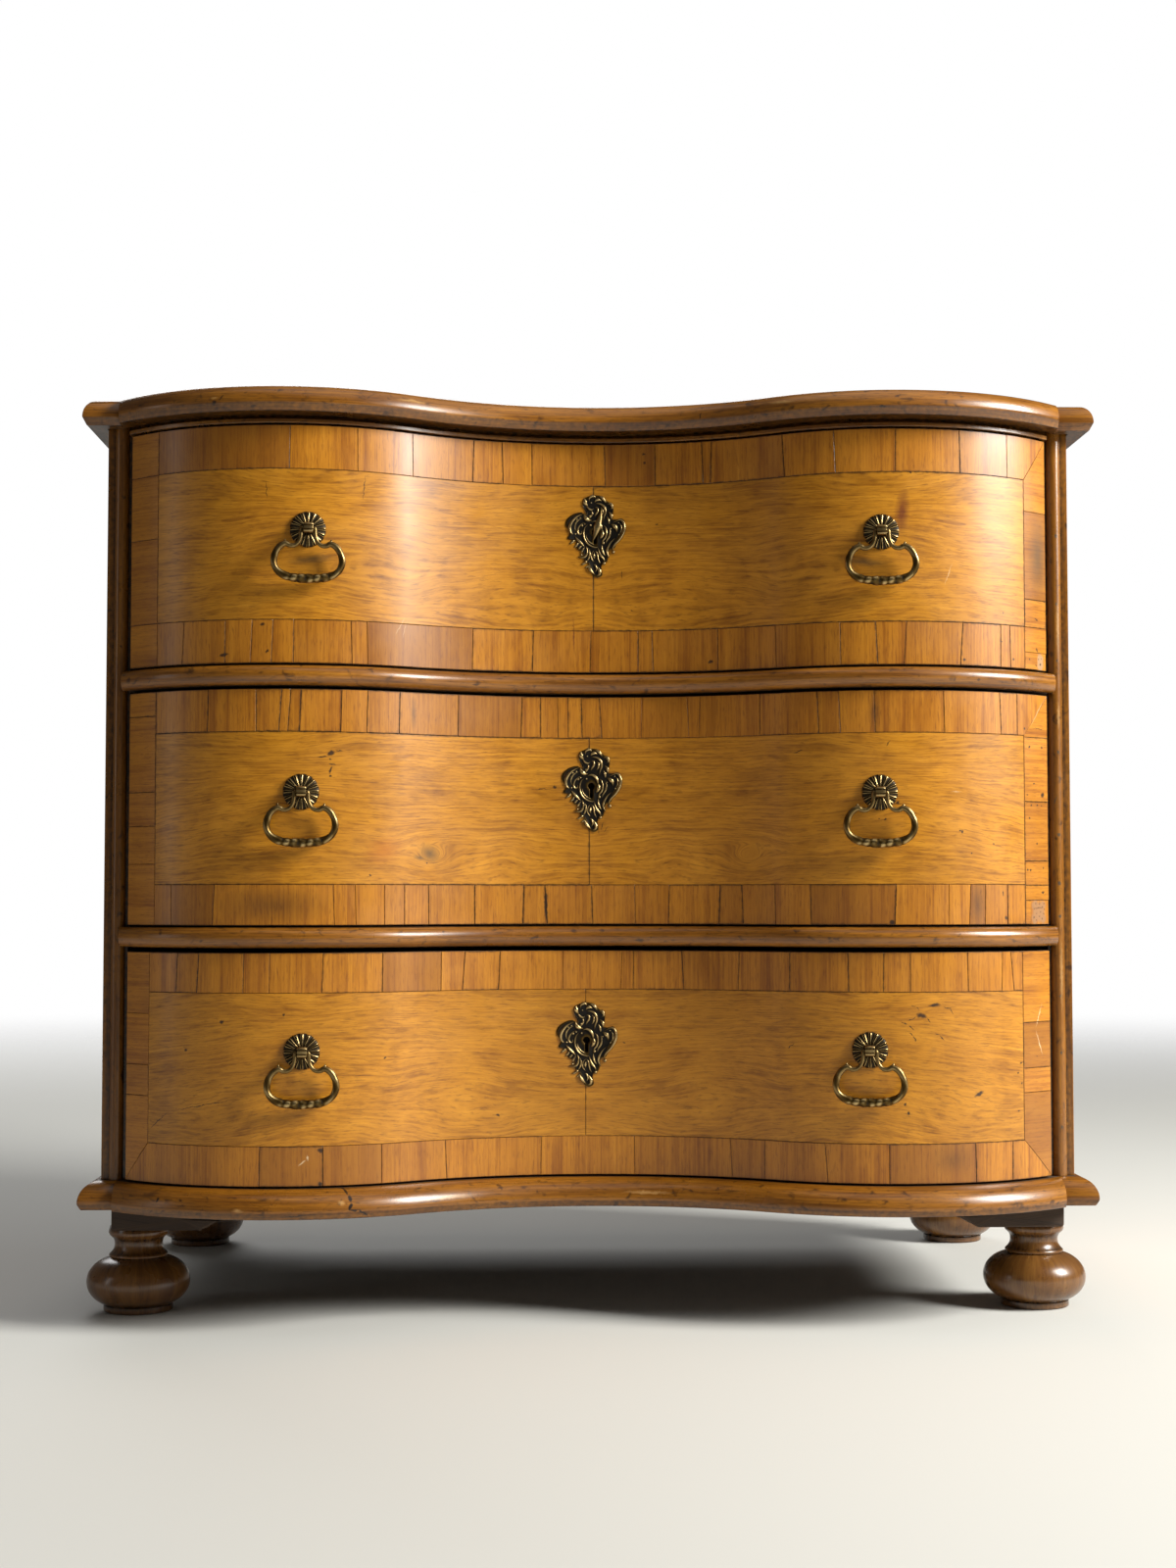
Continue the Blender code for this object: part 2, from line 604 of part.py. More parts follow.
def add_feet(parent):
    """Turned feet, and the rough rail on each side that takes their tenons."""
    profile = foot_profile()
    low = FOOT_HEIGHT
    high = BASE_LEVEL - GAP
    outer = SIDE_OUTER - FOOT_RAIL_INSET
    inner = outer - FOOT_RAIL_WIDTH
    outline = [
        (outer, low), (outer, high), (inner, high),
        (inner, low + FOOT_RAIL_BEVEL_HEIGHT), (inner + FOOT_RAIL_BEVEL_WIDTH, low),
    ]
    rail = [[(x, y, z) for x, z in outline] for y in (FOOT_RAIL_FRONT, CARCASE_DEPTH)]
    hole = [(TENON_RADIUS + GAP, low - OVERRUN), (TENON_RADIUS + GAP, high + OVERRUN)]
    depths = {"front": FRONT_FOOT_DEPTH, "back": CARCASE_DEPTH - BACK_FOOT_INSET}
    holes = [turned(hole, FOOT_SIDES, (FOOT_PLACE_X, depth)) for depth in depths.values()]
    for hand, side in (("right", 1), ("left", -1)):
        for end, depth in depths.items():
            place = (side * FOOT_PLACE_X, depth, 0)
            foot = turned(profile, FOOT_SIDES)
            add_piece(f"{end}_{hand}_foot", [foot], "dark_walnut", parent, True, place)
        rail_shapes = [rail] if side > 0 else [mirrored(rail)]
        hole_shapes = holes if side > 0 else [mirrored(shape) for shape in holes]
        foot_rail = add_piece(f"{hand}_foot_rail", rail_shapes, "rough_pine", parent)
        combine(foot_rail, add_cutter(f"{hand}_foot_rail_holes", hole_shapes, parent))


def tail_outlines(low, high, root, tip, grow=0.0, past=0.0):
    """Dovetails between two heights, from a root depth to a wider tip, each from low to high."""
    direction = math.copysign(1, tip - root)
    end = tip + direction * grow
    start = root - direction * past
    tails = []
    for middle in spread(low + TAIL_MARGIN, high - TAIL_MARGIN, TAILS - 1):
        narrow = TAIL_ROOT / 2 + grow
        wide = narrow + TAIL_FLARE
        tails.append(
            [(start, middle - narrow), (end, middle - wide), (end, middle + wide), (start, middle + narrow)])
    return tails


def side_outline(low, high):
    """A drawer side seen from the side, with dovetails at both ends."""
    front = BLOCK_BACK + GAP
    back = DRAWER_BACK_FACE - GAP
    behind = [point for tail in tail_outlines(low, high, back, DRAWER_END) for point in tail]
    ahead = [point for tail in tail_outlines(low, high, front, BLOCK_BACK - TAIL_LENGTH) for point in tail]
    return [(front, low), (back, low), *behind, (back, high), (front, high), *reversed(ahead)]


def drawer_front_outline():
    """Plan of a drawer front: parallel faces, and a square block at each end for the dovetails."""
    inner = DRAWER_HALF_WIDTH - BLOCK_INNER
    face = front_line(0.0, DRAWER_HALF_WIDTH)
    inside = front_line(-FRONT_THICKNESS, inner)
    end = DRAWER_HALF_WIDTH
    return [
        *face, (end, BLOCK_BACK), (inner, BLOCK_BACK), *reversed(inside),
        (-inner, BLOCK_BACK), (-end, BLOCK_BACK),
    ]


def drawer_bottom_shape(grow=0.0):
    """Bottom board in its grooves; grown by the clearance it is the grooves' cutter."""
    half_width = DRAWER_SIDE_INNER + GROOVE_DEPTH + grow
    line = front_line(GROOVE_DEPTH - FRONT_THICKNESS + grow, half_width)
    end = DRAWER_END + (OVERRUN if grow else 0.0)
    outline = [(-half_width, end), *line, (half_width, end)]
    low = GAP + DRAWER_BOTTOM_LIFT - grow
    return upright(outline, low, low + DRAWER_BOTTOM_THICKNESS + 2 * grow)


def keyhole_shape(place, height):
    """Round hole over a slot, from before the escutcheon into the lock case."""
    turn = math.asin(KEYHOLE_SLOT / 2 / KEYHOLE_RADIUS)
    middle = height + KEYHOLE_HEIGHT / 2 - KEYHOLE_RADIUS
    outline = [
        (place + KEYHOLE_RADIUS * math.sin(a), middle - KEYHOLE_RADIUS * math.cos(a))
        for a in spread(turn, math.tau - turn, KEYHOLE_SIDES)
    ]
    low = height - KEYHOLE_HEIGHT / 2
    outline = [(place + KEYHOLE_SLOT / 2, low), *outline, (place - KEYHOLE_SLOT / 2, low)]
    ahead = HOLLOW_DEPTH - ESCUTCHEON_THICKNESS - OVERRUN
    behind = LOCK_SEAT + GAP + LOCK_THICKNESS / 4
    return [[(x, y, z) for x, z in outline] for y in (ahead, behind)]


def escutcheon_shape(place, height):
    """Cast plate with a raised field, bent to the hollow of the front."""
    layers = (
        (1, GAP),
        (1, GAP + ESCUTCHEON_EDGE),
        (RELIEF_SHARE, GAP + ESCUTCHEON_THICKNESS),
    )
    sections = []
    for size, reach in layers:
        section = []
        for across, up in ESCUTCHEON_SHARES:
            x = place + across * size * ESCUTCHEON_WIDTH / 2
            z = height + up * size * ESCUTCHEON_HEIGHT / 2
            section.append((x, step_depth(x) - reach, z))
        sections.append(section)
    return sections


def rose_shape():
    """Scalloped rose, domed to a flat crown; depth runs back from the drawer's face."""
    count = 2 * ROSE_LOBES
    radii = [ROSE_RADIUS - (i % 2) * ROSE_SCALLOP for i in range(count)]
    angles = [math.tau * (i + 1 / 2) / count for i in range(count)]
    layers = ((1, GAP), (1, GAP + ROSE_RIM), (ROSE_CROWN_SHARE, GAP + ROSE_DOME))
    return [
        [(size * r * math.cos(a), -reach, size * r * math.sin(a)) for r, a in zip(radii, angles)]
        for size, reach in layers
    ]


def bail_path():
    """Centres and radii of the bail's rod, from its right pin round to its left pin."""
    pin = [(PIN_END, 0.0, PIN_RADIUS), (KNUCKLE_HALF_WIDTH + GAP, 0.0, PIN_RADIUS)]
    grow = GRIP_RADIUS - ROD_RADIUS
    half = pin + [
        (across * BAIL_HALF_WIDTH, up * BAIL_HEIGHT, ROD_RADIUS + swell * grow)
        for across, up, swell in BAIL_SHARES
    ]
    return half + [(-x, z, r) for x, z, r in reversed(half[:-1])]


def bail_shape():
    """Round rod along the bail's path, each section square to the path there."""
    path = bail_path()
    sections = []
    for i, (x, z, radius) in enumerate(path):
        before = path[max(i - 1, 0)]
        after = path[min(i + 1, len(path) - 1)]
        run = math.atan2(after[1] - before[1], after[0] - before[0])
        across = (-math.sin(run), math.cos(run))
        angles = [math.tau * k / BAIL_SIDES for k in range(BAIL_SIDES)]
        section = []
        for a in angles:
            out = radius * math.cos(a)
            section.append((x + out * across[0], radius * math.sin(a), z + out * across[1]))
        sections.append(section)
    return sections


def knuckle_shapes():
    """Knuckle and shank cast with a rose, the shank's riveted head, and the pins' hole."""
    root = -ROSE_DOME + ROSE_RIM
    knuckle = box(
        (-KNUCKLE_HALF_WIDTH, KNUCKLE_HALF_WIDTH),
        (-PIVOT_REACH - KNUCKLE_NOSE, root),
        (-KNUCKLE_HALF_HEIGHT, KNUCKLE_HALF_HEIGHT))
    head = FRONT_THICKNESS + RIVET_CLEARANCE
    shank = turned_forward(
        [
            (SHANK_RADIUS, root), (SHANK_RADIUS, head), (RIVET_RADIUS, head),
            (SHANK_RADIUS, head + RIVET_THICKNESS),
        ],
        SHANK_SIDES)
    angles = [math.tau * i / PIN_SIDES for i in range(PIN_SIDES)]
    reach = KNUCKLE_HALF_WIDTH + OVERRUN
    hole = [
        [(x, PIN_HOLE_RADIUS * math.cos(a) - PIVOT_REACH, PIN_HOLE_RADIUS * math.sin(a)) for a in angles]
        for x in (-reach, reach)
    ]
    return knuckle, shank, hole


def add_handles(name, height, places, front, parent):
    """Roses with their knuckles, and the bails that swing in them, square to the drawer's face."""
    knuckle, shank, pin_hole = knuckle_shapes()
    shank_hole = turned_forward(
        [(SHANK_RADIUS + GAP, -OVERRUN), (SHANK_RADIUS + GAP, FRONT_THICKNESS + OVERRUN)], SHANK_SIDES)
    for hand, place in places.items():
        turn = front_lean(place)
        seat = (place, front_depth(place), height)
        rose = add_piece(
            f"{name}_handle_rose_{hand}", [rose_shape()], "aged_brass", parent, True, seat, turn)
        label = f"{name}_{hand}"
        combine(rose, add_cutter(f"{label}_knuckle", [knuckle], parent, seat, turn), "UNION")
        combine(rose, add_cutter(f"{label}_shank", [shank], parent, seat, turn), "UNION")
        combine(rose, add_cutter(f"{label}_pin_hole", [pin_hole], parent, seat, turn))
        combine(front, add_cutter(f"{label}_shank_hole", [shank_hole], parent, seat, turn))
        pivot = (
            place + PIVOT_REACH * math.sin(turn),
            front_depth(place) - PIVOT_REACH * math.cos(turn),
            height,
        )
        add_piece(f"{name}_bail_{hand}", [bail_shape()], "aged_brass", parent, True, pivot, turn)


def add_lock(name, top, place, front, parent):
    """Iron lock let into the front, its bolt, the keyhole and the escutcheon."""
    height = top - KEYHOLE_DROP
    half_width = LOCK_WIDTH / 2
    low = height - LOCK_BELOW_KEYHOLE
    high = top - LOCK_TOP_DROP
    seat = LOCK_SEAT + GAP
    case = add_piece(
        f"{name}_lock_case",
        [box((-half_width, half_width), (seat, seat + LOCK_THICKNESS), (low, high))],
        "wrought_iron", parent)
    recess = box(
        (-half_width - GAP, half_width + GAP),
        (LOCK_SEAT, LOCK_SEAT + LOCK_THICKNESS),
        (low - GAP, top + OVERRUN))
    combine(front, add_cutter(f"{name}_lock_recess", [recess], parent))

    bolt_high = high - BOLT_TOP_DROP
    bolt_low = bolt_high - BOLT_LENGTH
    across = BOLT_WIDTH / 2
    deep = BOLT_THICKNESS / 2
    channel = box(
        (-across - GAP, across + GAP),
        (BOLT_DEPTH - deep - GAP, BOLT_DEPTH + deep + GAP),
        (bolt_low - GAP, high + OVERRUN))
    combine(case, add_cutter(f"{name}_bolt_channel", [channel], parent))
    bolt = box((-across, across), (BOLT_DEPTH - deep, BOLT_DEPTH + deep), (bolt_low, bolt_high))
    add_piece(f"{name}_lock_bolt", [bolt], "wrought_iron", parent)

    plate = add_piece(f"{name}_escutcheon", [escutcheon_shape(place, height)], "aged_brass", parent)
    keyhole = add_cutter(f"{name}_keyhole", [keyhole_shape(place, height)], parent)
    combine(front, keyhole)
    combine(case, keyhole)
    combine(plate, keyhole)


def add_drawer(name):
    """One drawer, in heights above its opening's floor."""
    clearance, handle_drop, left_inset, right_inset, keyhole_place = DRAWERS[name]
    parent = add_empty(f"{name}_drawer", (0, ORIGIN_Y, LEVELS[name]))
    top = OPENINGS[name] - clearance
    low = GAP
    high = top - DRAWER_SIDE_DROP
    front = add_piece(
        f"{name}_drawer_front", [upright(drawer_front_outline(), FRONT_LIFT, top)],
        "figured_walnut", parent, smooth=True)

    groove = add_cutter(f"{name}_grooves", [drawer_bottom_shape(GAP)], parent)
    outline = side_outline(low, high)
    side = crosswise(outline, DRAWER_SIDE_INNER, DRAWER_SIDE_OUTER)
    for hand, shape in (("right", side), ("left", mirrored(side))):
        board = add_piece(f"{name}_drawer_{hand}_side", [shape], "drawer_pine", parent)
        combine(board, groove)
    combine(front, groove)

    sockets = []
    ends = (
        (BLOCK_BACK + GAP, BLOCK_BACK - TAIL_LENGTH),
        (DRAWER_BACK_FACE - GAP, DRAWER_END),
    )
    for root, tip in ends:
        end_sockets = [
            crosswise(tail, DRAWER_SIDE_INNER - GAP, DRAWER_HALF_WIDTH + OVERRUN)
            for tail in tail_outlines(low, high, root, tip, GAP, OVERRUN)
        ]
        sockets.append(end_sockets + [mirrored(shape) for shape in end_sockets])
    combine(front, add_cutter(f"{name}_front_sockets", sockets[0], parent))

    bottom_top = GAP + DRAWER_BOTTOM_LIFT + DRAWER_BOTTOM_THICKNESS
    back = add_piece(
        f"{name}_drawer_back",
        [box(
            (-DRAWER_SIDE_OUTER, DRAWER_SIDE_OUTER),
            (DRAWER_BACK_FACE, DRAWER_END),
            (bottom_top + GAP, high - DRAWER_BACK_DROP))],
        "drawer_pine", parent)
    combine(back, add_cutter(f"{name}_back_sockets", sockets[1], parent))
    add_piece(f"{name}_drawer_bottom", [drawer_bottom_shape()], "drawer_pine", parent)

    places = {"left": left_inset - BULGE_PLACE, "right": BULGE_PLACE - right_inset}
    add_lock(name, top, keyhole_place, front, parent)
    add_handles(name, top - handle_drop, places, front, parent)


def main():
    clear_scene()
    carcase = add_empty("carcase", (0, ORIGIN_Y, 0))
    add_top(carcase)
    add_bottom(carcase)
    add_sides(carcase)
    add_posts(carcase)
    add_back(carcase)
    add_rails(carcase)
    add_mouldings(carcase)
    add_feet(carcase)
    for name in DRAWERS:
        add_drawer(name)


main()
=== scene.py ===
"""Looks of a serpentine walnut chest of three drawers on bun feet, in metres, +Z up.

The front's plan is a line of tangent arcs: a hollow in the middle and a bulge on each side. A place
on it is (along, height, off): the arc's length from the middle, the height over the floor and the
distance ahead of the drawers' faces. Lists of veneer joints and of marks are in millimetres.
"""
import json
import math

import bmesh
import bpy
import numpy as np
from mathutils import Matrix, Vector


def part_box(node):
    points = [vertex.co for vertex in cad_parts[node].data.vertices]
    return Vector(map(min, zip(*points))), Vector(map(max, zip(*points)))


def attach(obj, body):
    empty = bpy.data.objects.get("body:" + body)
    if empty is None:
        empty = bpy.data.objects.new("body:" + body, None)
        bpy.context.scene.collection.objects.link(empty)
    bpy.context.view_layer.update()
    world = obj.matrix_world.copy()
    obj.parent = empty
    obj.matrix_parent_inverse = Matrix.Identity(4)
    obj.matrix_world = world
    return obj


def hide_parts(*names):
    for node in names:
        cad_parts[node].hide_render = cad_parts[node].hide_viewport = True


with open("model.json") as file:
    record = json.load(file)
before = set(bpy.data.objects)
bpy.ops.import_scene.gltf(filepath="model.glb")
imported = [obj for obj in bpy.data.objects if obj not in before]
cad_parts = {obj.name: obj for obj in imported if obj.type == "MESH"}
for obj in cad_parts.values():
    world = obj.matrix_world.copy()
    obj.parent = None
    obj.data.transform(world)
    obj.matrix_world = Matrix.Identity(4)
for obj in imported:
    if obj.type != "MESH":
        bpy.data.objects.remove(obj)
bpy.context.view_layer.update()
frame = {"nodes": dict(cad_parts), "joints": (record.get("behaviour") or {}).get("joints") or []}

# Plan of the front, as the part has it
BULGE_RADIUS = 0.22200
HOLLOW_RADIUS = 0.33828
BULGE_PLACE = 0.303
BULGE_CENTRE = 0.15990
HOLLOW_DEPTH = 0.0269
ORIGIN_Y = -0.24245             # where the plan's depths start
LEAN = math.asin(BULGE_PLACE / (BULGE_RADIUS + HOLLOW_RADIUS))
HOLLOW_LENGTH = HOLLOW_RADIUS * LEAN
FRONT_LENGTH = HOLLOW_LENGTH + BULGE_RADIUS * (LEAN + math.asin(0.154 / BULGE_RADIUS))

# Case, from the frame where a box gives it
SIDE_INNER, SIDE_OUTER = (corner[0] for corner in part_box("right_side"))
SIDE_FACE = SIDE_OUTER + 0.0003
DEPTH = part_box("right_side")[1][1] - ORIGIN_Y
BASE_LEVEL, FLOOR_LEVEL = (corner[2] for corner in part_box("bottom_board"))
TOP_LEVEL, HEIGHT = (corner[2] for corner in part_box("top_board"))
POST_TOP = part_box("right_corner_post")[1][2]
POST_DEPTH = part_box("right_corner_post")[1][1] - ORIGIN_Y
POST_FRONT = 0.0155
BEAD_PLACE = 0.4698
BEAD_RADIUS = 0.007
EAR_DEPTH = 0.0082
EAR_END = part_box("top_right_moulding")[0][0]
TOP_FACE = 0.0017               # front edge of the top board, ahead of the drawers' faces
PANEL_END = 0.4363              # half width of the top's panels

# Drawers: the board that each runs on, its level, its front's top and its escutcheon's middle
RUNS_ON = {"lower": "bottom_board", "middle": "lower_divider", "upper": "upper_divider"}
LEVELS = {name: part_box(board)[1][2] for name, board in RUNS_ON.items()}
FRONT_TOPS = {name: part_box(f"{name}_drawer_front")[1][2] for name in RUNS_ON}
PLATES = {name: sum(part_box(f"{name}_escutcheon"), Vector()) / 2 for name in RUNS_ON}
HINGES = {joint["child"]: joint for joint in frame["joints"] if "bail" in joint["child"]}
PIVOT_REACH = 0.013             # a bail's hinge ahead of its rose's back
ROSE_RADIUS = 0.0175
KEYHOLE_RISE = 0.0042           # middle of the keyhole above its plate's
PLATE_HALF = (0.0300, 0.0420)   # half width and half height of an escutcheon

# Veneer
VENEER = 0.0012                 # face of the veneer ahead of the drawers' core
CORE = 0.0002                   # back edge of the veneer's rim
LEAF_EDGE = 0.0008              # stained strip along a leaf's edge
PANEL_LIGHT = 0.56              # tone of the book-matched panels, of which 0.5 is a leaf's own colour
DULL_LIGHT = 0.29               # tone of a leaf that has gone grey


def linear(code):
    """Linear RGBA of an sRGB hex code."""
    parts = [int(code[i:i + 2], 16) / 255 for i in (1, 3, 5)]
    return (*(c / 12.92 if c <= 0.04045 else ((c + 0.055) / 1.055) ** 2.4 for c in parts), 1.0)


def node(tree, kind, inputs=None, stops=None, **settings):
    """Adds a node and gives its outputs. Inputs go by name or number to a value or a socket."""
    made = tree.nodes.new("ShaderNode" + kind)
    for name, value in settings.items():
        setattr(made, name, value)
    for key, value in (inputs or {}).items():
        if isinstance(value, bpy.types.NodeSocket):
            tree.links.new(value, made.inputs[key])
        else:
            made.inputs[key].default_value = linear(value) if isinstance(value, str) else value
    if stops:
        elements = made.color_ramp.elements
        while len(elements) < len(stops):
            elements.new(0.5)
        for element, (place, colour) in zip(elements, stops):
            element.position = place
            element.color = linear(colour) if isinstance(colour, str) else (*(colour,) * 3, 1.0)
    return made.outputs


def new_material(name):
    """An empty material's tree and its Principled shader."""
    material = bpy.data.materials.new(name)
    material.use_nodes = True
    return material, material.node_tree, material.node_tree.nodes["Principled BSDF"]


def finish_material(tree, shader, sockets, constants):
    """Links the varying sockets and sets the constant ones."""
    for name, socket in sockets.items():
        tree.links.new(socket, shader.inputs[name])
    for name, value in constants.items():
        shader.inputs[name].default_value = value


def wood(name, tones, marks=(), grain=None, stretch=(7, 110), figure=0.5, rough=0.38, coat=0.22,
         bump=0.12, pores=0.5, knocks=0.0, dulled=0.0):
    """Wood with growth bands, fine lines, pores, stained edges, any knocks and any marks.

    The grain runs along the first coordinate of the map called grain, or, for a board of the
    frame, along one axis of the object. A scale is the number of cells in a metre along or across
    it, 1000 over the size in millimetres, and stretch gives the two that the others follow.

    The map called tone has three values. The first lightens or darkens a leaf, and dulls it if it
    is low; on the posts and the top rail it is painted light and shade. The second darkens: stains
    along a leaf's edges, and painted shade in the quirks, creases and undersides of mouldings, posts
    and feet. The third turns the growth bands of a crossband, which are also redder, into the clouds
    and short flames of a panel. Marks are ellipses on the map called place.
    """
    material, tree, shader = new_material(name)
    if grain is None:
        vector = node(tree, "UVMap", uv_map="grain")[0]
    else:
        turns = {"x": (0, 0, 0), "y": (0, 0, math.pi / 2), "z": (0, math.pi / 2, 0)}
        vector = node(tree, "TexCoord")["Object"]
        vector = node(tree, "Mapping", {"Vector": vector, "Rotation": turns[grain]})[0]
    along, across = stretch

    def layer(lengthwise, crosswise, detail, warp=0.3):
        scaled = node(tree, "Mapping", {"Vector": vector, "Scale": (lengthwise, crosswise, crosswise)})[0]
        return node(tree, "TexNoise", {"Vector": scaled, "Scale": 1.0, "Detail": detail, "Roughness": 0.6,
                                       "Distortion": warp})[0]

    def blend(share, first, second):
        return node(tree, "Mix", {0: share, 2: first, 3: second})[0]

    # Growth bands, on the veneer 15 mm apart, with lines of 2.5 mm in them, and clouds of 45 by 30 mm
    fine = layer(along, across * 3.6, 5.0)
    clouds = layer(22, 34, 3.0, 0.8)
    mixed = blend(0.5, layer(along * 0.6, across * 0.6, 4.0), fine)
    mixed = blend(0.3 * figure, mixed, clouds)
    if grain is None:
        # Flames of 36 by 5 mm
        parts = node(tree, "SeparateColor", {0: node(tree, "Attribute", attribute_name="tone")[0]})
        flames = layer(along * 4, across * 1.7, 4.0, 0.8)
        panel = blend(0.72, clouds, blend(0.50, flames, fine))
        panel = node(tree, "MapRange", {0: panel, 1: 0.24, 2: 0.76})[0]
    mixed = node(tree, "MapRange", {0: mixed, 1: 0.26, 2: 0.74})[0]
    if grain is None:
        mixed = blend(parts[2], mixed, panel)
    colour = node(tree, "ValToRGB", {0: mixed}, stops=list(zip(np.linspace(0.0, 1.0, len(tones)), tones)))[0]

    # Pores, 1 mm wide on the veneer, and flecks of 13 by 1.6 mm: coarser than real ones, to show
    lines = layer(along * 4, across * 9, 2.0, 0.0)
    lines = node(tree, "MapRange", {0: lines, 1: 0.60, 2: 0.74, 4: pores})[0]
    colour = node(tree, "Mix", {0: lines, 6: colour, 7: tones[0]}, data_type="RGBA")[2]
    flecks = layer(75, 640, 3.0, 0.4)
    flecks = node(tree, "MapRange", {0: flecks, 1: 0.53, 2: 0.70, 4: pores})[0]
    colour = node(tree, "Mix", {0: flecks, 6: colour, 7: tones[0]}, data_type="RGBA")[2]
    if knocks:
        # Knocks of 13 by 9 mm
        spots = layer(75, 110, 2.0, 0.5)
        spots = node(tree, "MapRange", {0: spots, 1: 0.60, 2: 0.72, 4: knocks})[0]
        colour = node(tree, "Mix", {0: spots, 6: colour, 7: "#2a1508"}, data_type="RGBA")[2]
    if grain is None:
        # A random drift of lightness over 200 by 90 mm, and stains and painted shade that fray by 5 mm
        drift = node(tree, "MapRange", {0: layer(5, 11, 2.0), 1: 0.3, 2: 0.7, 3: -0.1, 4: 0.1})[0]
        light = node(tree, "MapRange", {0: parts[0], 3: 0.66, 4: 1.42})[0]
        light = node(tree, "Math", {0: light, 1: drift}, operation="ADD")[0]
        colour = node(tree, "VectorMath", {0: colour, 3: light}, operation="SCALE")[0]
        dull = node(tree, "MapRange", {0: parts[0], 1: 0.38, 2: 0.22, 4: dulled})[0]
        colour = node(tree, "Mix", {0: dull, 6: colour, 7: "#6b4516"}, data_type="RGBA")[2]
        if dulled:
            band = node(tree, "MapRange", {0: parts[2], 3: 0.2, 4: 0.0})[0]
            colour = node(tree, "Mix", {0: band, 6: colour, 7: "#98481a"}, data_type="RGBA")[2]
        # Stains along leaf edges, and painted shade in quirks, creases and undersides, from the second tone
        # value
        stain_and_shade = node(tree, "TexNoise", {"Vector": vector, "Scale": 190.0, "Detail": 3.0})[0]
        stain_and_shade = node(tree, "Math", {0: stain_and_shade, 1: parts[1]}, operation="MULTIPLY")[0]
        stain_and_shade = node(tree, "MapRange", {0: stain_and_shade, 1: 0.13, 2: 0.52, 4: 0.94})[0]
        colour = node(tree, "Mix", {0: stain_and_shade, 6: colour, 7: "#1d1006"}, data_type="RGBA")[2]

    if marks:
        # Marks whose edges wander by up to 2 mm every 4 mm
        place = node(tree, "UVMap", uv_map="place")[0]
        fray = node(tree, "TexNoise", {"Vector": place, "Scale": 260.0, "Detail": 2.0})[1]
        fray = node(tree, "VectorMath", {0: fray, 1: (0.5, 0.5, 0.5)}, operation="SUBTRACT")[0]
        fray = node(tree, "VectorMath", {0: fray, 3: 0.0035}, operation="SCALE")[0]
        place = node(tree, "VectorMath", {0: place, 1: fray}, operation="ADD")[0]
        for hue, strength, soft, spots in marks:
            total = None
            for at, high, half_long, half_wide, turn in spots:
                spot = node(tree, "Mapping", {
                    "Vector": place, "Location": (at / 1000, high / 1000, 0),
                    "Rotation": (0, 0, math.radians(turn)),
                    "Scale": (half_long / 1000, half_wide / 1000, 1),
                }, vector_type="TEXTURE")[0]
                spot = node(tree, "VectorMath", {0: spot}, operation="LENGTH")[1]
                total = spot if total is None else node(
                    tree, "Math", {0: total, 1: spot}, operation="MINIMUM")[0]
            mask = node(tree, "MapRange", {0: total, 1: 1.0, 2: 1.0 - soft, 4: strength})[0]
            colour = node(tree, "Mix", {0: mask, 6: colour, 7: hue}, data_type="RGBA")[2]

    # Polish that varies over 70 mm, and a surface that waves over 90 mm
    smear = node(tree, "TexNoise", {"Vector": vector, "Scale": 14.0, "Detail": 4.0, "Roughness": 0.6})[0]
    roughness = node(tree, "MapRange", {0: smear, 1: 0.3, 2: 0.75, 3: rough - 0.08, 4: rough + 0.08})[0]
    height = blend(0.6, fine, lines)
    normal = node(tree, "Bump", {"Strength": bump, "Distance": 0.0006, "Height": height})[0]
    where = node(tree, "TexCoord")["Object"]
    waves = node(tree, "TexNoise", {"Vector": where, "Scale": 11.0, "Detail": 2.0})[0]
    normal = node(tree, "Bump", {"Strength": 0.15, "Distance": 0.004, "Height": waves, "Normal": normal})[0]
    finish_material(
        tree, shader, {"Base Color": colour, "Roughness": roughness, "Normal": normal},
        {"Coat Weight": coat, "Coat Roughness": 0.24})
    return material


def metal(name, deep, body, ridge, rough, patina=True):
    """Old cast metal: dark in its hollows, bare on its ridges, by the map called tone.

    Its blotches are 6 mm wide. The pits of the casting are drawn 1 mm wide, to show.
    """
    material, tree, shader = new_material(name)
    where = node(tree, "TexCoord")["Object"]
    blotch = node(tree, "TexNoise", {"Vector": where, "Scale": 160.0, "Detail": 5.0, "Roughness": 0.65})[0]
    if patina:
        tone = node(tree, "Attribute", attribute_name="tone")[0]
        height = node(tree, "SeparateColor", {0: tone})[2]
        height = node(tree, "Mix", {0: 0.22, 2: height, 3: blotch})[0]
    else:
        height = blotch
    colour = node(tree, "ValToRGB", {0: height}, stops=[(0.2, deep), (0.52, body), (0.84, ridge)])[0]
    roughness = node(tree, "MapRange", {0: height, 1: 0.15, 2: 0.85, 3: rough + 0.25, 4: rough})[0]
    metallic = node(tree, "MapRange", {0: height, 1: 0.1, 2: 0.4, 3: 0.35, 4: 1.0})[0]
    pits = node(tree, "TexNoise", {"Vector": where, "Scale": 900.0, "Detail": 3.0})[0]
    normal = node(tree, "Bump", {"Strength": 0.25, "Distance": 0.0002, "Height": pits})[0]
    finish_material(
        tree, shader,
        {"Base Color": colour, "Roughness": roughness, "Metallic": metallic, "Normal": normal}, {})
    return material


def front_point(along, off):
    """Plan point on a parallel of the front: arcs about the hollow's centre and each bulge's."""
    size = np.abs(along)
    hollow = size / HOLLOW_RADIUS
    bulge = (size - HOLLOW_LENGTH) / BULGE_RADIUS - LEAN
    inside = size <= HOLLOW_LENGTH
    centre = HOLLOW_DEPTH - HOLLOW_RADIUS
    x = np.where(
        inside, (HOLLOW_RADIUS - off) * np.sin(hollow), BULGE_PLACE + (BULGE_RADIUS + off) * np.sin(bulge))
    y = np.where(
        inside, centre + (HOLLOW_RADIUS - off) * np.cos(hollow),
        BULGE_CENTRE - (BULGE_RADIUS + off) * np.cos(bulge))
    return np.sign(along) * x, y + ORIGIN_Y


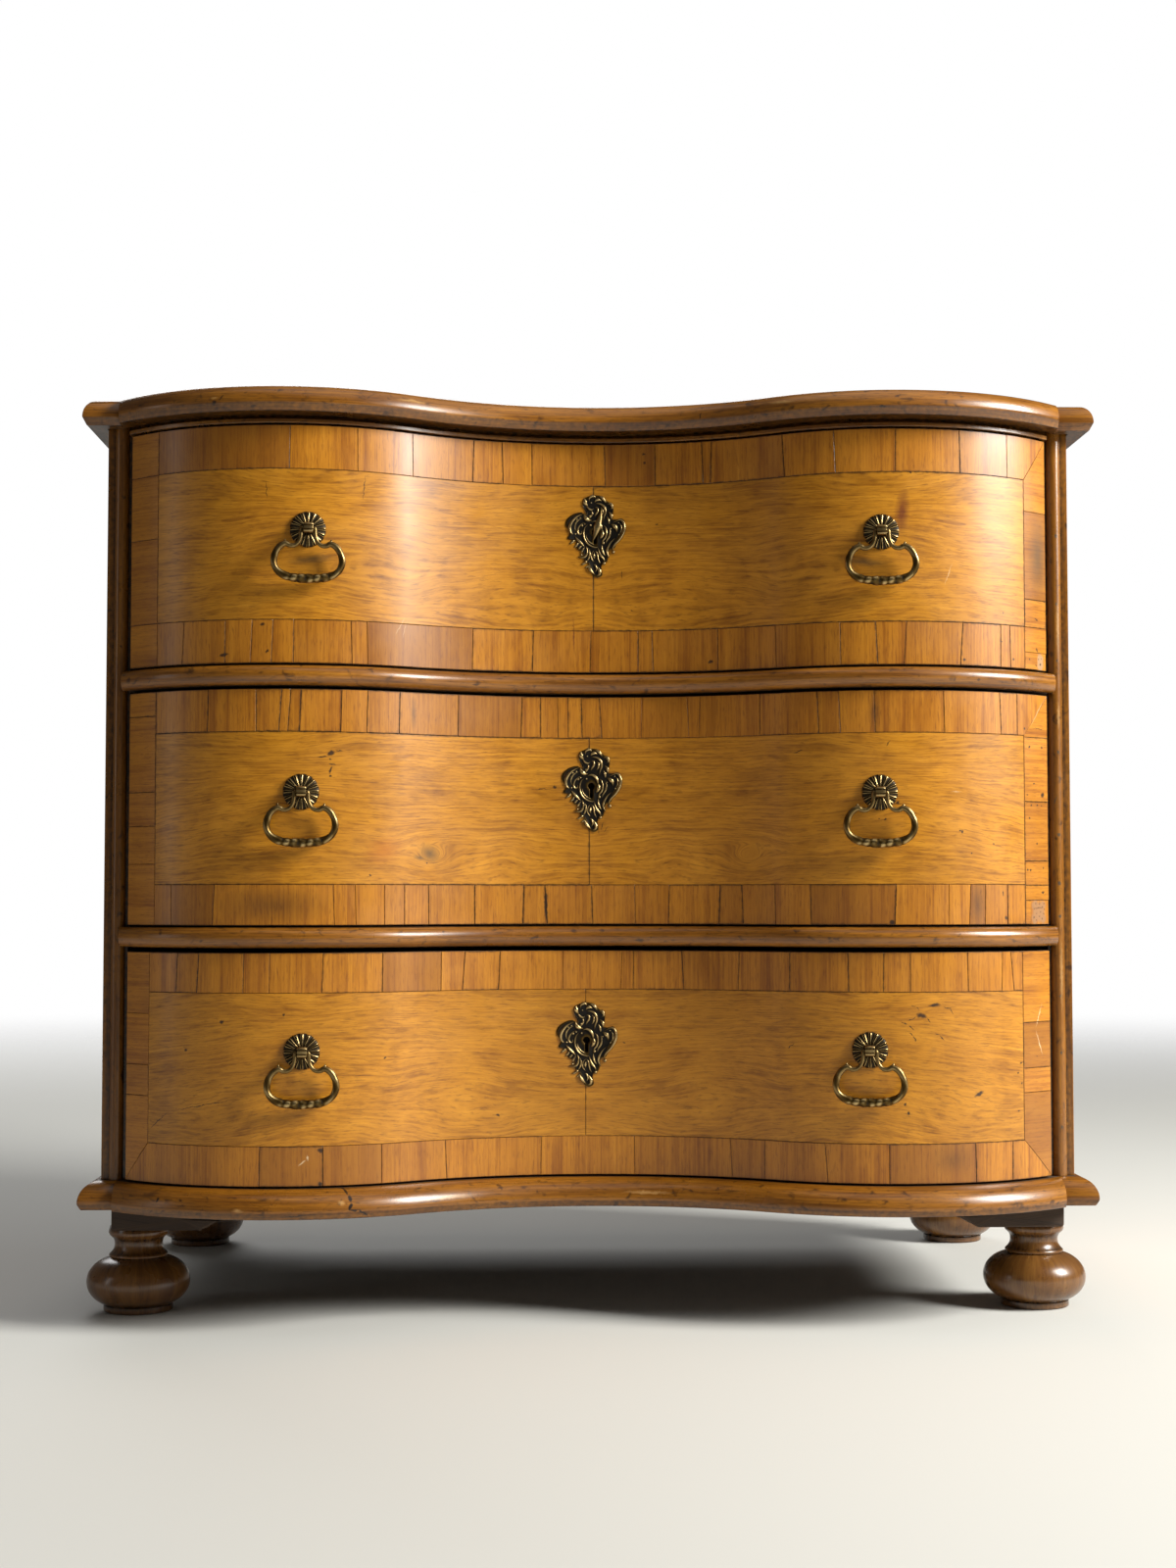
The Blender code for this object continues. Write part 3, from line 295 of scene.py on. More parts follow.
def front_depth(x, off):
    """Depth at a distance x from the middle of the front's parallel."""
    size = np.abs(x)
    inside = size <= (HOLLOW_RADIUS - off) * math.sin(LEAN)
    hollow = np.maximum((HOLLOW_RADIUS - off) ** 2 - size ** 2, 0.0)
    bulge = np.maximum((BULGE_RADIUS + off) ** 2 - (size - BULGE_PLACE) ** 2, 0.0)
    y = np.where(
        inside, HOLLOW_DEPTH - HOLLOW_RADIUS + np.sqrt(hollow), BULGE_CENTRE - np.sqrt(bulge))
    return y + ORIGIN_Y


def on_front(along, high, off):
    """Points in space of places on the front."""
    x, y = front_point(along, off)
    return np.stack([x, y, np.broadcast_to(high, x.shape)], -1)


def front_run(off, half_width):
    """Arc lengths for one parallel, evenly spaced on each arc, so that it ends at a half width."""
    end = HOLLOW_LENGTH + BULGE_RADIUS * (
        LEAN + math.asin((half_width - BULGE_PLACE) / (BULGE_RADIUS + off)))
    turns = (0, HOLLOW_LENGTH, HOLLOW_LENGTH + BULGE_RADIUS * LEAN, end)
    half = np.concatenate([np.linspace(a, b, 18)[1:] for a, b in zip(turns, turns[1:])])
    return np.concatenate([-half[::-1], [0.0], half])


def ripple(a, b, seed, low, high):
    """Smooth random field: a sum of sine waves of random direction and length."""
    rng = np.random.default_rng(seed)
    total, count = np.zeros(np.shape(a)), 7
    for _ in range(count):
        pitch = rng.uniform(low, high)
        turn = rng.uniform(0, math.tau)
        phase = rng.uniform(0, math.tau)
        total = total + np.sin(pitch * (a * math.cos(turn) + b * math.sin(turn)) + phase) * low / pitch
    return total / math.sqrt(count)


def patch(points, grain, tone, place=None):
    """One grid of points with its maps: the grain's, a tone's three values and the marks'."""
    shape = points.shape[:2]
    tone = np.array(np.broadcast_to(np.asarray(tone, float), (*shape, 3)))
    place = np.zeros((*shape, 2)) if place is None else place
    return points, np.array(np.broadcast_to(grain, (*shape, 2))), tone, place


def end_cap(loop, grain, tone):
    """Closes a section by a fan to its middle. The loop's first point is repeated at its end."""
    middle = np.broadcast_to(loop[:-1].mean(0), loop.shape)
    points = np.stack([loop, middle])
    return patch(points, np.stack([grain, grain]) + 0.3, tone)


def add_piece(name, patches, material, body, replaces=(), sharp=35.0):
    """Makes one object of grids of quads: doubles merged, faces outwards, sharp by angle."""
    corners, base = [], 0
    for points, *_ in patches:
        rows, columns = points.shape[:2]
        index = np.arange(rows * columns).reshape(rows, columns) + base
        quads = np.stack([index[:-1, :-1], index[1:, :-1], index[1:, 1:], index[:-1, 1:]], -1)
        corners.append(quads.reshape(-1, 4))
        base += rows * columns
    corners = np.concatenate(corners)
    merged = [np.concatenate([p[i].reshape(-1, p[i].shape[-1]) for p in patches]) for i in range(4)]
    # The points of a hole have no place: they are left out, and so is every quad that meets one
    placed = np.isfinite(merged[0]).all(1)
    corners = (np.cumsum(placed) - 1)[corners[placed[corners].all(1)]]
    points, grain, tone, place = (values[placed] for values in merged)
    mesh = bpy.data.meshes.new(name)
    mesh.vertices.add(len(points))
    mesh.vertices.foreach_set("co", points.astype(np.float32).ravel())
    mesh.loops.add(corners.size)
    mesh.loops.foreach_set("vertex_index", corners.astype(np.int32).ravel())
    mesh.polygons.add(len(corners))
    mesh.polygons.foreach_set("loop_start", np.arange(0, corners.size, 4, dtype=np.int32))
    mesh.update(calc_edges=True)
    for label, values in (("grain", grain), ("place", place)):
        layer = mesh.uv_layers.new(name=label)
        layer.data.foreach_set("uv", values[corners.ravel()].astype(np.float32).ravel())
    layer = mesh.color_attributes.new("tone", "FLOAT_COLOR", "CORNER")
    values = np.concatenate([tone, np.ones((len(tone), 1))], 1)
    layer.data.foreach_set("color", values[corners.ravel()].astype(np.float32).ravel())
    bm = bmesh.new()
    bm.from_mesh(mesh)
    bmesh.ops.remove_doubles(bm, verts=bm.verts, dist=2e-6)
    bmesh.ops.dissolve_degenerate(bm, edges=bm.edges, dist=1e-7)
    bmesh.ops.recalc_face_normals(bm, faces=bm.faces)
    bm.to_mesh(mesh)
    bm.free()
    mesh.shade_smooth()
    mesh.set_sharp_from_angle(angle=math.radians(sharp))
    mesh.materials.append(material)
    obj = bpy.data.objects.new(name, mesh)
    bpy.context.scene.collection.objects.link(obj)
    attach(obj, body)
    if replaces:
        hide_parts(*replaces)
    return obj


def run_length(points):
    """Length along a row of points, from its first."""
    steps = np.linalg.norm(np.diff(points, axis=0), axis=-1)
    return np.concatenate([[0.0], np.cumsum(steps)])


def loft(sections, painted_shade=None, light=0.5, shift=0.0):
    """Skin over a row of closed sections with as many points each, and its caps.

    The grain runs from section to section, and shift says where in the wood it starts.
    """
    sections = np.asarray(sections, float)
    closed = np.concatenate([sections, sections[:, :1]], 1)
    around = run_length(closed[len(closed) // 2])
    along = run_length(closed.mean(1))
    grain = np.stack(np.meshgrid(along + shift, around + shift, indexing="ij"), -1)
    tone = np.zeros((*closed.shape[:2], 3))
    tone[..., 0] = light
    # The second tone value is painted shade, one value for each point of a section
    if painted_shade is not None:
        tone[..., 1] = np.append(painted_shade, painted_shade[0])
    caps = [end_cap(closed[end], grain[end], (light * 0.7, 0.35, 0.5)) for end in (0, -1)]
    return [patch(closed, grain, tone), *caps]


def rounded(outline, radius, steps=3):
    """A closed outline with each corner replaced by a short curve."""
    outline = np.asarray(outline, float)
    points = []
    for before, corner, after in zip(np.roll(outline, 1, 0), outline, np.roll(outline, -1, 0)):
        room = min(np.linalg.norm(before - corner), np.linalg.norm(after - corner)) / 2.01
        reach = min(radius, room)
        start = corner + (before - corner) / np.linalg.norm(before - corner) * reach
        end = corner + (after - corner) / np.linalg.norm(after - corner) * reach
        for t in np.linspace(0, 1, steps):
            points.append((1 - t) ** 2 * start + 2 * t * (1 - t) * corner + t ** 2 * end)
    return np.array(points)


def turned(profile, x, y):
    """Turning about a vertical axis from rows of radius, height and painted shade."""
    angle = np.linspace(0, math.tau, 64, endpoint=False)
    radius, z, painted_shade = np.array(profile).T[..., None]
    grids = loft(np.stack([x + radius * np.cos(angle), y + radius * np.sin(angle), z + 0 * angle], -1))
    grids[0][2][..., 1] = painted_shade
    return grids


def curve(points, count):
    """Catmull-Rom curve through rows of values."""
    points = np.asarray(points, float)
    padded = np.concatenate([2 * points[:1] - points[1:2], points, 2 * points[-1:] - points[-2:-1]])
    place = np.linspace(0, len(points) - 1, count)
    i = np.minimum(place.astype(int), len(points) - 2)
    t = (place - i)[:, None]
    p0, p1, p2, p3 = (padded[i + k] for k in range(4))
    return 0.5 * (2 * p1 + (p2 - p0) * t + (2 * p0 - 5 * p1 + 4 * p2 - p3) * t ** 2
                  + (3 * p1 - p0 - 3 * p2 + p3) * t ** 3)


def oblong(x0, x1, y0, y1):
    """Corners of a rectangle, round from the low left."""
    return [(x0, y0), (x1, y0), (x1, y1), (x0, y1)]


def any_seed(rng):
    """A leaf's own seed, drawn in turn."""
    return int(rng.integers(1 << 30))


def leaf(corners, surface, run, seed, light=None, step=0.003, warp=None, hole=None):
    """One leaf of veneer over a quadrilateral, whose corners go round from the low left.

    It is blended evenly between its corners. Its rim goes down to the core, its edge is eased and
    a narrow strip along it is stained. The grain runs along the first coordinate of the surface if
    run is 0 and along the second if it is 1, or as a warp says. A hole is a middle and half sizes.
    """
    corners = np.asarray(corners, float)
    rng = np.random.default_rng(seed)
    width = np.linalg.norm(corners[1] - corners[0] + corners[2] - corners[3]) / 2
    height = np.linalg.norm(corners[3] - corners[0] + corners[2] - corners[1]) / 2

    def spaced(length):
        count = max(3, round((length - 2 * LEAF_EDGE) / step) + 1)
        inner = np.linspace(LEAF_EDGE, length - LEAF_EDGE, count)
        return np.concatenate([[0, 0, 0.0003], inner, [length - 0.0003, length, length]]) / length

    s, t = np.meshgrid(spaced(width), spaced(height), indexing="ij")
    weights = np.stack([(1 - s) * (1 - t), s * (1 - t), s * t, (1 - s) * t], -1)
    a, b = np.moveaxis(weights @ corners, -1, 0)
    rim = np.minimum.outer(
        np.minimum(np.arange(s.shape[0]), np.arange(s.shape[0])[::-1]),
        np.minimum(np.arange(s.shape[1]), np.arange(s.shape[1])[::-1]))
    high = np.choose(np.minimum(rim, 2), (CORE, VENEER - 0.0003, VENEER))
    stain_and_shade = np.choose(np.minimum(rim, 4), (1.0, 0.9, 0.75, 0.42, 0.0))
    stain_and_shade = stain_and_shade * rng.uniform(0.4, 1.1)
    points = surface(a, b, high)
    if hole:
        inside = (np.abs(a - hole[0]) < hole[2]) & (np.abs(b - hole[1]) < hole[3])
        points = np.where(inside[..., None], np.nan, points)
    grain = np.stack(warp(a, b) if warp else ((a, b) if run == 0 else (b, a)), -1)
    shift = (0, 0) if warp else rng.uniform(-9, 9, 2)
    light = np.clip(rng.normal(0.5, 0.07), 0.38, 0.66) if light is None else light
    tone = np.stack([np.full(s.shape, light), stain_and_shade, np.full(s.shape, float(warp is not None))], -1)
    return patch(points, grain + shift, tone, np.stack([a, b], -1))


def figured(seed, knots, joint=0.0, sway=0.018):
    """Warp of a book-matched panel: the grain wanders in waves, and runs round any knots.

    A knot bends the grain aside by a bell curve of the distance from it; its eye, if it has one,
    is a smaller bell inside which the grain's height becomes the distance, which makes rings.
    """
    def warp(a, b):
        size = np.abs(a - joint)
        along = size + 0.03 * ripple(size, b, seed, low=6, high=26)
        across = b + sway * ripple(size * 0.6, b, seed + 1, low=7, high=30)
        across = across + 0.0016 * ripple(size, b * 1.4, seed + 2, low=45, high=150)
        for place, high, radius, pull, eye in knots:
            away = np.hypot((size - place) / 1.7, b - high)
            across = across - pull * (b - high) * np.exp(-(away / radius) ** 2)
            if eye:
                core = np.exp(-(away / eye) ** 2)
                across = across * (1 - core) + core * (high + 1.1 * away)
                along = along * (1 - core) + core * place
        return along + seed, across
    return warp


# Veneer joints on each drawer: the panels' lower and upper edge, the end bands' inner edges, the
# joints of the upper and of the lower band, those of the left and of the right end band, the
# mitred corners, and where the lowest leaf on the right breaks off, if it does.
JOINTS = {
    "upper": (
        (686.1, 833.5), (-451.3, 456),
        (-311.7, -245.9, -187.2, -121.1, -90, -59.8, 15, 65.9, 115.2, 124, 201.9, 254.4, 313.2,
         378.6, 433.8),
        (-419.5, -374, -348, -327.6, -307.2, -251.1, -235.2, -121.4, -58.4, 0.1, 48.6, 63.4, 130.6,
         192.9, 258.9, 294.2, 321.9, 379, 423.8, 435.9),
        (686, 770, 833), (661, 686, 714, 802), ("right_top",), 475.0),
    "middle": (
        (429.7, 577.5), (-452, 453),
        (-391.3, -342.9, -319.3, -311, -300.3, -260.8, -235.2, -201, -136.3, -70.2, -50.5, -33,
         -22.9, -8.9, 10.5, 52, 99.4, 111.2, 174.8, 236.4, 257.8, 291.5, 360, 422.4, 444.2),
        (-431.2, -384.4, -267.2, -245.9, -216.5, -194.8, -168.1, -118.7, -68, -45, 1.8, 45.1, 79.2,
         131.6, 155.8, 191.1, 227.8, 310.5, 363.6, 385.7, 402.7, 429.3),
        (450, 487, 520.5, 595), (414, 429, 453, 512, 576), ("right_top",), 462.0),
    "lower": (
        (179.1, 325.3), (-457.7, 448.4),
        (-423.5, -400, -353.4, -328.3, -277.8, -218.2, -154.1, -130.1, -92.6, -27.9, 31.1, 43.1,
         93.5, 151.3, 206, 264.7, 298.5, 324.3, 382.6, 421.8, 434.5),
        (-336.9, -276.3, -218.2, -148.4, -49.8, 44.1, 143, 178.3, 242.4, 302.8, 389.7, 432.8),
        (224.4, 254.5, 304), (225, 249, 294), ("left_bottom", "right_bottom"), None),
}
# Seed, the joint between a drawer's two panels, and knots: place, height, radius, pull and eye.
KNOTS = {
    "upper": (31, 0.003, ((0.085, 0.712, 0.045, 0.7, 0), (0.300, 0.800, 0.040, -0.6, 0),
                          (0.215, 0.735, 0.040, 0.6, 0))),
    "middle": (47, -0.001, ((0.163, 0.4605, 0.020, 0.7, 0.0065), (0.085, 0.446, 0.040, 0.6, 0),
                            (0.33, 0.535, 0.045, -0.6, 0))),
    "lower": (62, -0.005, ((0.120, 0.215, 0.045, 0.7, 0), (0.285, 0.290, 0.040, -0.6, 0),
                           (0.385, 0.215, 0.035, 0.5, 0))),
}
# Places on the leaves that have gone dull and grey
DULL = {
    "upper": ((-400, 850), (-150, 660), (25, 850), (468, 755)),
    "middle": ((-400, 410), (-90, 600), (296, 410), (399, 410)),
    "lower": ((468, 271), (468, 200), (-247, 160), (-310, 160), (362, 160), (-180, 345)),
}


def bare_core(along, high, off):
    """Bare wood where a leaf is lost, at a third of the veneer's thickness."""
    return on_front(along, high, off / 3)


def drawer_leaves(name):
    """Every leaf on one drawer: two book-matched panels inside crossbands."""
    (band_low, band_high), (left, right), above, below, left_end, right_end, mitres, chip = JOINTS[name]
    low, high = LEVELS[name] * 1000 + 2.0, FRONT_TOPS[name] * 1000 - 0.2
    end = FRONT_LENGTH * 1000 - 0.2
    rng = np.random.default_rng(KNOTS[name][0])
    gap = 0.17
    leaves = []

    def put(quad, run, light=None, **more):
        quad = np.asarray(quad, float)
        middle = quad.mean(0)
        inner = quad - np.sign(quad - middle) * gap
        dull = any((quad.min(0) < spot).all() and (quad.max(0) > spot).all() for spot in DULL[name])
        if dull and not more:
            light = DULL_LIGHT
        leaves.append(leaf(inner / 1000, on_front, run, any_seed(rng), light, **more))

    corner = {
        "left_top": (-end, high), "right_top": (end, high),
        "left_bottom": (-end, low), "right_bottom": (end, low)}
    for joints, inner, outer, side in ((above, band_high, high, "top"), (below, low, band_low, "bottom")):
        slants = rng.normal(0, 0.7, len(joints))
        edges = [(left, left), *((at + d, at - d) for at, d in zip(joints, slants)), (right, right)]
        for i, (start, stop) in enumerate(zip(edges, edges[1:])):
            quad = [(start[0], inner), (stop[0], inner), (stop[1], outer), (start[1], outer)]
            edge = (0, 1) if side == "bottom" else (3, 2)
            if i == 0 and f"left_{side}" in mitres:
                quad[edge[0]] = corner[f"left_{side}"]
            if i == len(edges) - 2 and f"right_{side}" in mitres:
                quad[edge[1]] = corner[f"right_{side}"]
            put(quad, 1)
    ends = ((left, -end, left_end, "left"), (right, end, right_end, "right"))
    for inner, outer, joints, hand in ends:
        edges = [low, *joints, high]
        for i, (start, stop) in enumerate(zip(edges, edges[1:])):
            quad = oblong(*sorted((inner, outer)), start, stop)
            inside = 0 if hand == "right" else 1
            if i == 0 and f"{hand}_bottom" in mitres:
                quad[inside] = (quad[inside][0], band_low)
            if i == len(edges) - 2 and f"{hand}_top" in mitres:
                quad[3 - inside] = (quad[3 - inside][0], band_high)
            if i == 0 and chip and hand == "right":
                quad[1], quad[2] = (chip, start), (chip, stop)
                bare = np.array(oblong(chip, end, start, stop)) / 1000
                leaves.append(leaf(bare, bare_core, 1, 3, 0.62))
            put(quad, 0)
    seed, joint, knots = KNOTS[name]
    warp = figured(seed, knots, joint)
    keyhole = (PLATES[name].x, PLATES[name].z, 0.0042, 0.009)
    for x in ((left, joint * 1000), (joint * 1000, right)):
        put(oblong(*x, band_low, band_high), 0, PANEL_LIGHT, warp=warp, hole=keyhole)
    return leaves


def add_drawers(finishes):
    """Leaves, escutcheon, roses and bails of each drawer."""
    for name in LEVELS:
        body = f"{name}_drawer"
        add_piece(f"{name}_veneer", drawer_leaves(name), finishes[f"{name}_veneer"], body)
        add_piece(f"{name}_scrolls", escutcheon(PLATES[name], name == "upper"), finishes["brass"], body,
                  [f"{name}_escutcheon"], sharp=60)
        for hand in ("left", "right"):
            set_in = set_at_hinge(HINGES[f"{name}_bail_{hand}"])
            add_piece(f"{name}_rose_{hand}", rose(set_in), finishes["brass"], body,
                      [f"{name}_handle_rose_{hand}"], sharp=50)
            add_piece(f"{name}_swan_bail_{hand}", bail(set_in), finishes["brass"], f"{name}_bail_{hand}",
                      [f"{name}_bail_{hand}"], sharp=60)


def along_front(profile, half_width, back=None):
    """Sections of a profile of (off, height) pairs, each pair carried on its own parallel."""
    rows = [on_front(front_run(off, half_width), high, off) for off, high in profile]
    if back is not None:
        for high in (profile[-1][1], profile[0][1]):
            row = rows[0].copy()
            row[:, 1], row[:, 2] = back + ORIGIN_Y, high
            rows.append(row)
    return np.stack(rows, 1)


def mortised(sections, row, half_width, depths, deep):
    """Sections with a pocket cut up into their underside, behind the given point of each.

    The pocket's walls are pairs of sections at one place, with the pocket shut in one of them.
    """
    x = sections[:, 0, 0]
    places = np.sort(np.concatenate([x, np.repeat([-half_width, half_width], 2)]))
    flat = sections.reshape(len(x), -1)
    sections = np.stack([np.interp(places, x, column) for column in flat.T], 1).reshape(len(places), -1, 3)
    opened = np.abs(places) < half_width
    opened[np.flatnonzero(places == -half_width)[1]] = opened[np.flatnonzero(places == half_width)[0]] = True
    pocket = np.repeat(sections[:, :1], 4, 1)
    pocket[..., 1] = np.repeat(depths, 2) + ORIGIN_Y
    pocket[..., 2] = sections[:, row, 2:] + np.outer(opened * deep, (0, 1, 1, 0))
    return np.concatenate([sections[:, :row + 1], pocket, sections[:, row + 1:]], 1)


def top_profile(seat, trim=0.0):
    """Thumbnail: flat on top, an elliptic round to the tip, then a slanted lip."""
    low, start, tip = HEIGHT - 0.026, seat + 0.008, seat + 0.024 - trim
    turn = np.linspace(0, math.pi / 2, 14)
    return [(seat, low), (seat, HEIGHT - 0.0008), (seat + 0.0008, HEIGHT),
            *zip(start + (tip - start) * np.sin(turn), low + 0.008 + 0.018 * np.cos(turn)),
            (tip - 0.0006, low + 0.0068), (tip - 0.0036, low + 0.0008), (tip - 0.0044, low)]


def base_profile(seat, trim=0.0):
    """Quarter round, an ellipse's, with a low blunt tip."""
    low, tip = BASE_LEVEL, seat + 0.0215 - trim
    turn = np.linspace(0, math.pi / 2, 14)
    return [(seat, low), *zip(seat + (tip - seat) * np.sin(turn), low + 0.007 + 0.020 * np.cos(turn)),
            (tip - 0.0004, low + 0.005), (tip - 0.0026, low + 0.0008), (tip - 0.0034, low)]


def side_moulding(profile, side):
    """Moulding along one side, mitred round the front corner into its ear."""
    off, high = np.array(profile).T
    outer, ear = SIDE_FACE + off, EAR_DEPTH - off
    plan = ((outer, DEPTH), (outer, 0.3), (outer, ear + 0.0005), (outer - 0.0004, ear),
            (EAR_END + 0.001, ear), (EAR_END, EAR_DEPTH - off * 0.97))
    return [np.stack(np.broadcast_arrays(side * x, y + ORIGIN_Y, high), -1) for x, y in plan]


def profile_shade(count, dark):
    """Painted shade for each point of a profile: dark near the listed points and none elsewhere."""
    place = np.arange(count)
    return np.max([strength * np.exp(-((place - at) / 1.2) ** 2) for at, strength in dark], 0)


def add_mouldings(finishes):
    """Top and base mouldings, the dividers' half-round beads, the top rail and the corner posts."""
    for part, make in (("top", top_profile), ("base", base_profile)):
        profile = make(0.002)
        # Painted shade at the seat's foot and under the round and the lip, where shade falls
        painted_shade = profile_shade(len(profile), ((0, 0.8), (len(profile) - 1, 0.9), (len(profile) - 3, 0.6)))
        grids = loft(along_front(profile, EAR_END - 0.0003), painted_shade, 0.5, 3.0 if part == "top" else 8.0)
        points, _, _, place = grids[0]
        place[..., 0] = front_run(0.02, EAR_END)[:, None]
        place[..., 1] = points[..., 2]
        add_piece(f"{part}_thumbnail_front", grids, finishes[f"{part}_moulding"], "carcase",
                  [f"{part}_front_moulding"])
        for hand, side in (("left", -1), ("right", 1)):
            grids = loft(side_moulding(make(0.0, 0.003), side), painted_shade, 0.5, 5.0 + side)
            add_piece(f"{part}_thumbnail_{hand}", grids, finishes["moulding"], "carcase",
                      [f"{part}_{hand}_moulding"])
    turn = np.linspace(-math.pi / 2, math.pi / 2, 11)
    for i, (name, above) in enumerate((("lower", "middle"), ("upper", "upper"))):
        level = LEVELS[above] - 0.010
        profile = [(0.0003 + 0.0102 * math.cos(a), level + 0.0099 * math.sin(a)) for a in turn]
        # Painted shade at the bead's top and bottom edges, in the gaps to the drawers
        painted_shade = profile_shade(11, ((0, 1.0), (10, 1.0), (1, 0.4)))
        grids = loft(along_front(profile, 0.466), painted_shade, 0.56, 13.0 + 4 * i)
        add_piece(f"{name}_divider_bead", grids, finishes["moulding"], "carcase",
                  [f"{name}_divider_moulding"])
    # The rail's flat, cove and lip, with a mortise over the upper bolt
    profile = [(0.0, POST_TOP), (0.0, 0.8855), (0.0012, 0.8838), (0.004, 0.8815), (0.004, 0.8785),
               (0.0035, 0.878)]
    # Painted shade on the rail: dark on its flat and cove under the top moulding, less on the lip, with a
    # darker tone for all of it
    painted_shade = np.array([0.9, 0.8, 0.9, 0.45, 0.35, 0.7, *[0.3] * 6])
    rail = mortised(along_front(profile, SIDE_INNER - 0.0003, 0.083), 5, 0.013, (0.0484, 0.0554), 0.010)
    grids = loft(rail, painted_shade, 0.3, 21.0)
    add_piece("top_rail_front", grids, finishes["moulding"], "carcase", ["top_rail"])
    # The posts' plan, with the half-round bead on the front
    turn = np.linspace(0, math.pi, 15)
    bead = zip(BEAD_PLACE - BEAD_RADIUS * np.cos(turn), POST_FRONT - BEAD_RADIUS * np.sin(turn))
    plan = np.array([
        (SIDE_INNER, POST_FRONT), *bead, (0.4838, POST_FRONT), (SIDE_OUTER, POST_FRONT + 0.0005),
        (SIDE_OUTER, POST_DEPTH), (SIDE_INNER, POST_DEPTH)])
    # Painted shade in the recess between the drawers and the bead and in the bead's quirks
    painted_shade = np.array([0.9, 1.0, 0.5, *[0.0] * 11, 0.3, 0.8, 0.3, 0.1, 0.1, 0.4])
    for hand, side in (("left", -1), ("right", 1)):
        sections = [
            np.stack([side * plan[:, 0], plan[:, 1] + ORIGIN_Y, np.full(len(plan), z)], -1)
            for z in np.linspace(FLOOR_LEVEL + 0.0003, POST_TOP, 24)]
        # Painted light and shade: the left post is darker and the right one lighter, as the light falls from
        # the right
        grids = loft(sections, painted_shade, 0.31 + 0.16 * side, 30.0 + side)
        points, _, _, place = grids[0]
        place[..., 0] = points[..., 0] - BEAD_PLACE
        place[..., 1] = points[..., 2]
        add_piece(f"{hand}_post_bead", grids, finishes["post_moulding"], "carcase",
                  [f"{hand}_corner_post"])


def on_top(a, b, off):
    """Points in space of places on the top: across, depth and height over the leaves' bed."""
    return np.stack([a, b + ORIGIN_Y, HEIGHT - VENEER + off + 0 * a], -1)


def top_quilt():
    """Leaves of the top: two panels matched about the middle, inside crossbands."""
    rng = np.random.default_rng(5)
    band, gap = 0.045, 0.0002
    leaves = []

    def bent(x, b):
        """b is 0 on the front edge, 1 on the band's inner edge and 2 at the back."""
        edge = np.maximum(front_depth(np.clip(x, -EAR_END, EAR_END), TOP_FACE) - ORIGIN_Y, -1)
        edge = np.where(np.abs(x) > EAR_END, EAR_DEPTH + 0.0003, edge)
        inner = front_depth(np.clip(x, -PANEL_END, PANEL_END), -band) - ORIGIN_Y
        return np.where(b < 1, edge + (inner - edge) * b, inner + (DEPTH - inner) * (b - 1))

    def put(start, stop, low, high, run, light=None, warp=None):
        """A leaf between curves: laid out in a straight space and then bent."""
        lift = (lambda a, b: warp(a, bent(a, 2 * b))) if warp else None
        leaves.append(leaf(
            oblong(start + gap, stop - gap, low / 2, high / 2),
            lambda a, b, off: on_top(a, bent(a, 2 * b), off), run, any_seed(rng), light, 0.006, lift))

    xs = [-PANEL_END, *np.sort(rng.uniform(-0.43, 0.43, 13)), PANEL_END]
    for start, stop in zip(xs, xs[1:]):
        put(start, stop, 0.0, 0.996, 1)
    knots = ((0.10, 0.20, 0.07, 0.8, 0), (0.30, 0.40, 0.08, -0.6, 0), (0.22, 0.12, 0.05, 0.6, 0))
    for start, stop in ((-PANEL_END, 0.0), (0.0, PANEL_END)):
        put(start, stop, 1.0004, 1.915, 0, PANEL_LIGHT, figured(83, knots, sway=0.008))
    for start, stop in zip(xs, xs[1:]):
        put(start, stop, 1.916, 2.0, 1)
    ys = [0.0088, 0.07, 0.13, 0.215, 0.28, 0.36, 0.43, 0.50, DEPTH]
    for side in (-1, 1):
        for start, stop in zip(ys, ys[1:]):
            x = sorted((side * (PANEL_END + gap), side * SIDE_OUTER))
            leaves.append(leaf(oblong(*x, start + gap, stop - gap), on_top, 0, any_seed(rng)))
    # Wedges between the front's curve and the ears
    for side in (-1, 1):
        near, far = side * (PANEL_END + gap), side * 0.4662
        quad = [(near, -0.0188), (far, 0.0080), (far, 0.0086), (near, 0.0086)]
        quad = quad if side > 0 else [quad[1], quad[0], quad[3], quad[2]]
        leaves.append(leaf(quad, on_top, 0, any_seed(rng)))
    return leaves


def on_side(side):
    """Places on one side, whose leaves are let into it by half their thickness."""
    def surface(a, b, off):
        return np.stack([side * (SIDE_OUTER + off - VENEER / 2) + 0 * a, a + ORIGIN_Y, b], -1)
    return surface


def side_quilt(side):
    """Leaves of one side: two panels matched about its middle line, inside crossbands."""
    rng = np.random.default_rng(11 + side)
    front, back, low, high = POST_DEPTH + 0.0006, DEPTH - 0.0003, 0.1395, 0.8855
    band, gap, middle = 0.045, 0.0002, (POST_DEPTH + DEPTH) / 2
    leaves = []
    knots = ((0.08, 0.30, 0.06, 0.8, 0), (0.16, 0.62, 0.07, -0.6, 0), (0.05, 0.50, 0.05, 0.6, 0))
    base = figured(97, knots, sway=0.006)

    def put(y0, y1, z0, z1, *more):
        quad = oblong(y0 + gap, y1 - gap, z0 + gap, z1 - gap)
        leaves.append(leaf(quad, on_side(side), *more))

    for start, stop in ((front + band, middle), (middle, back - band)):
        put(start, stop, low + band, high - band, 0, 1, 0.52, 0.006, lambda a, b: base(a - middle, b))
    for start, stop in ((low, low + band), (high - band, high)):
        ys = [front, *np.sort(rng.uniform(front + 0.03, back - 0.03, 7)), back]
        for y0, y1 in zip(ys, ys[1:]):
            put(y0, y1, start, stop, 1, any_seed(rng))
    for start, stop in ((front, front + band), (back - band, back)):
        zs = [low + band, *np.sort(rng.uniform(low + 0.08, high - 0.08, 9)), high - band]
        for z0, z1 in zip(zs, zs[1:]):
            put(start, stop, z0, z1, 0, any_seed(rng))
    return leaves


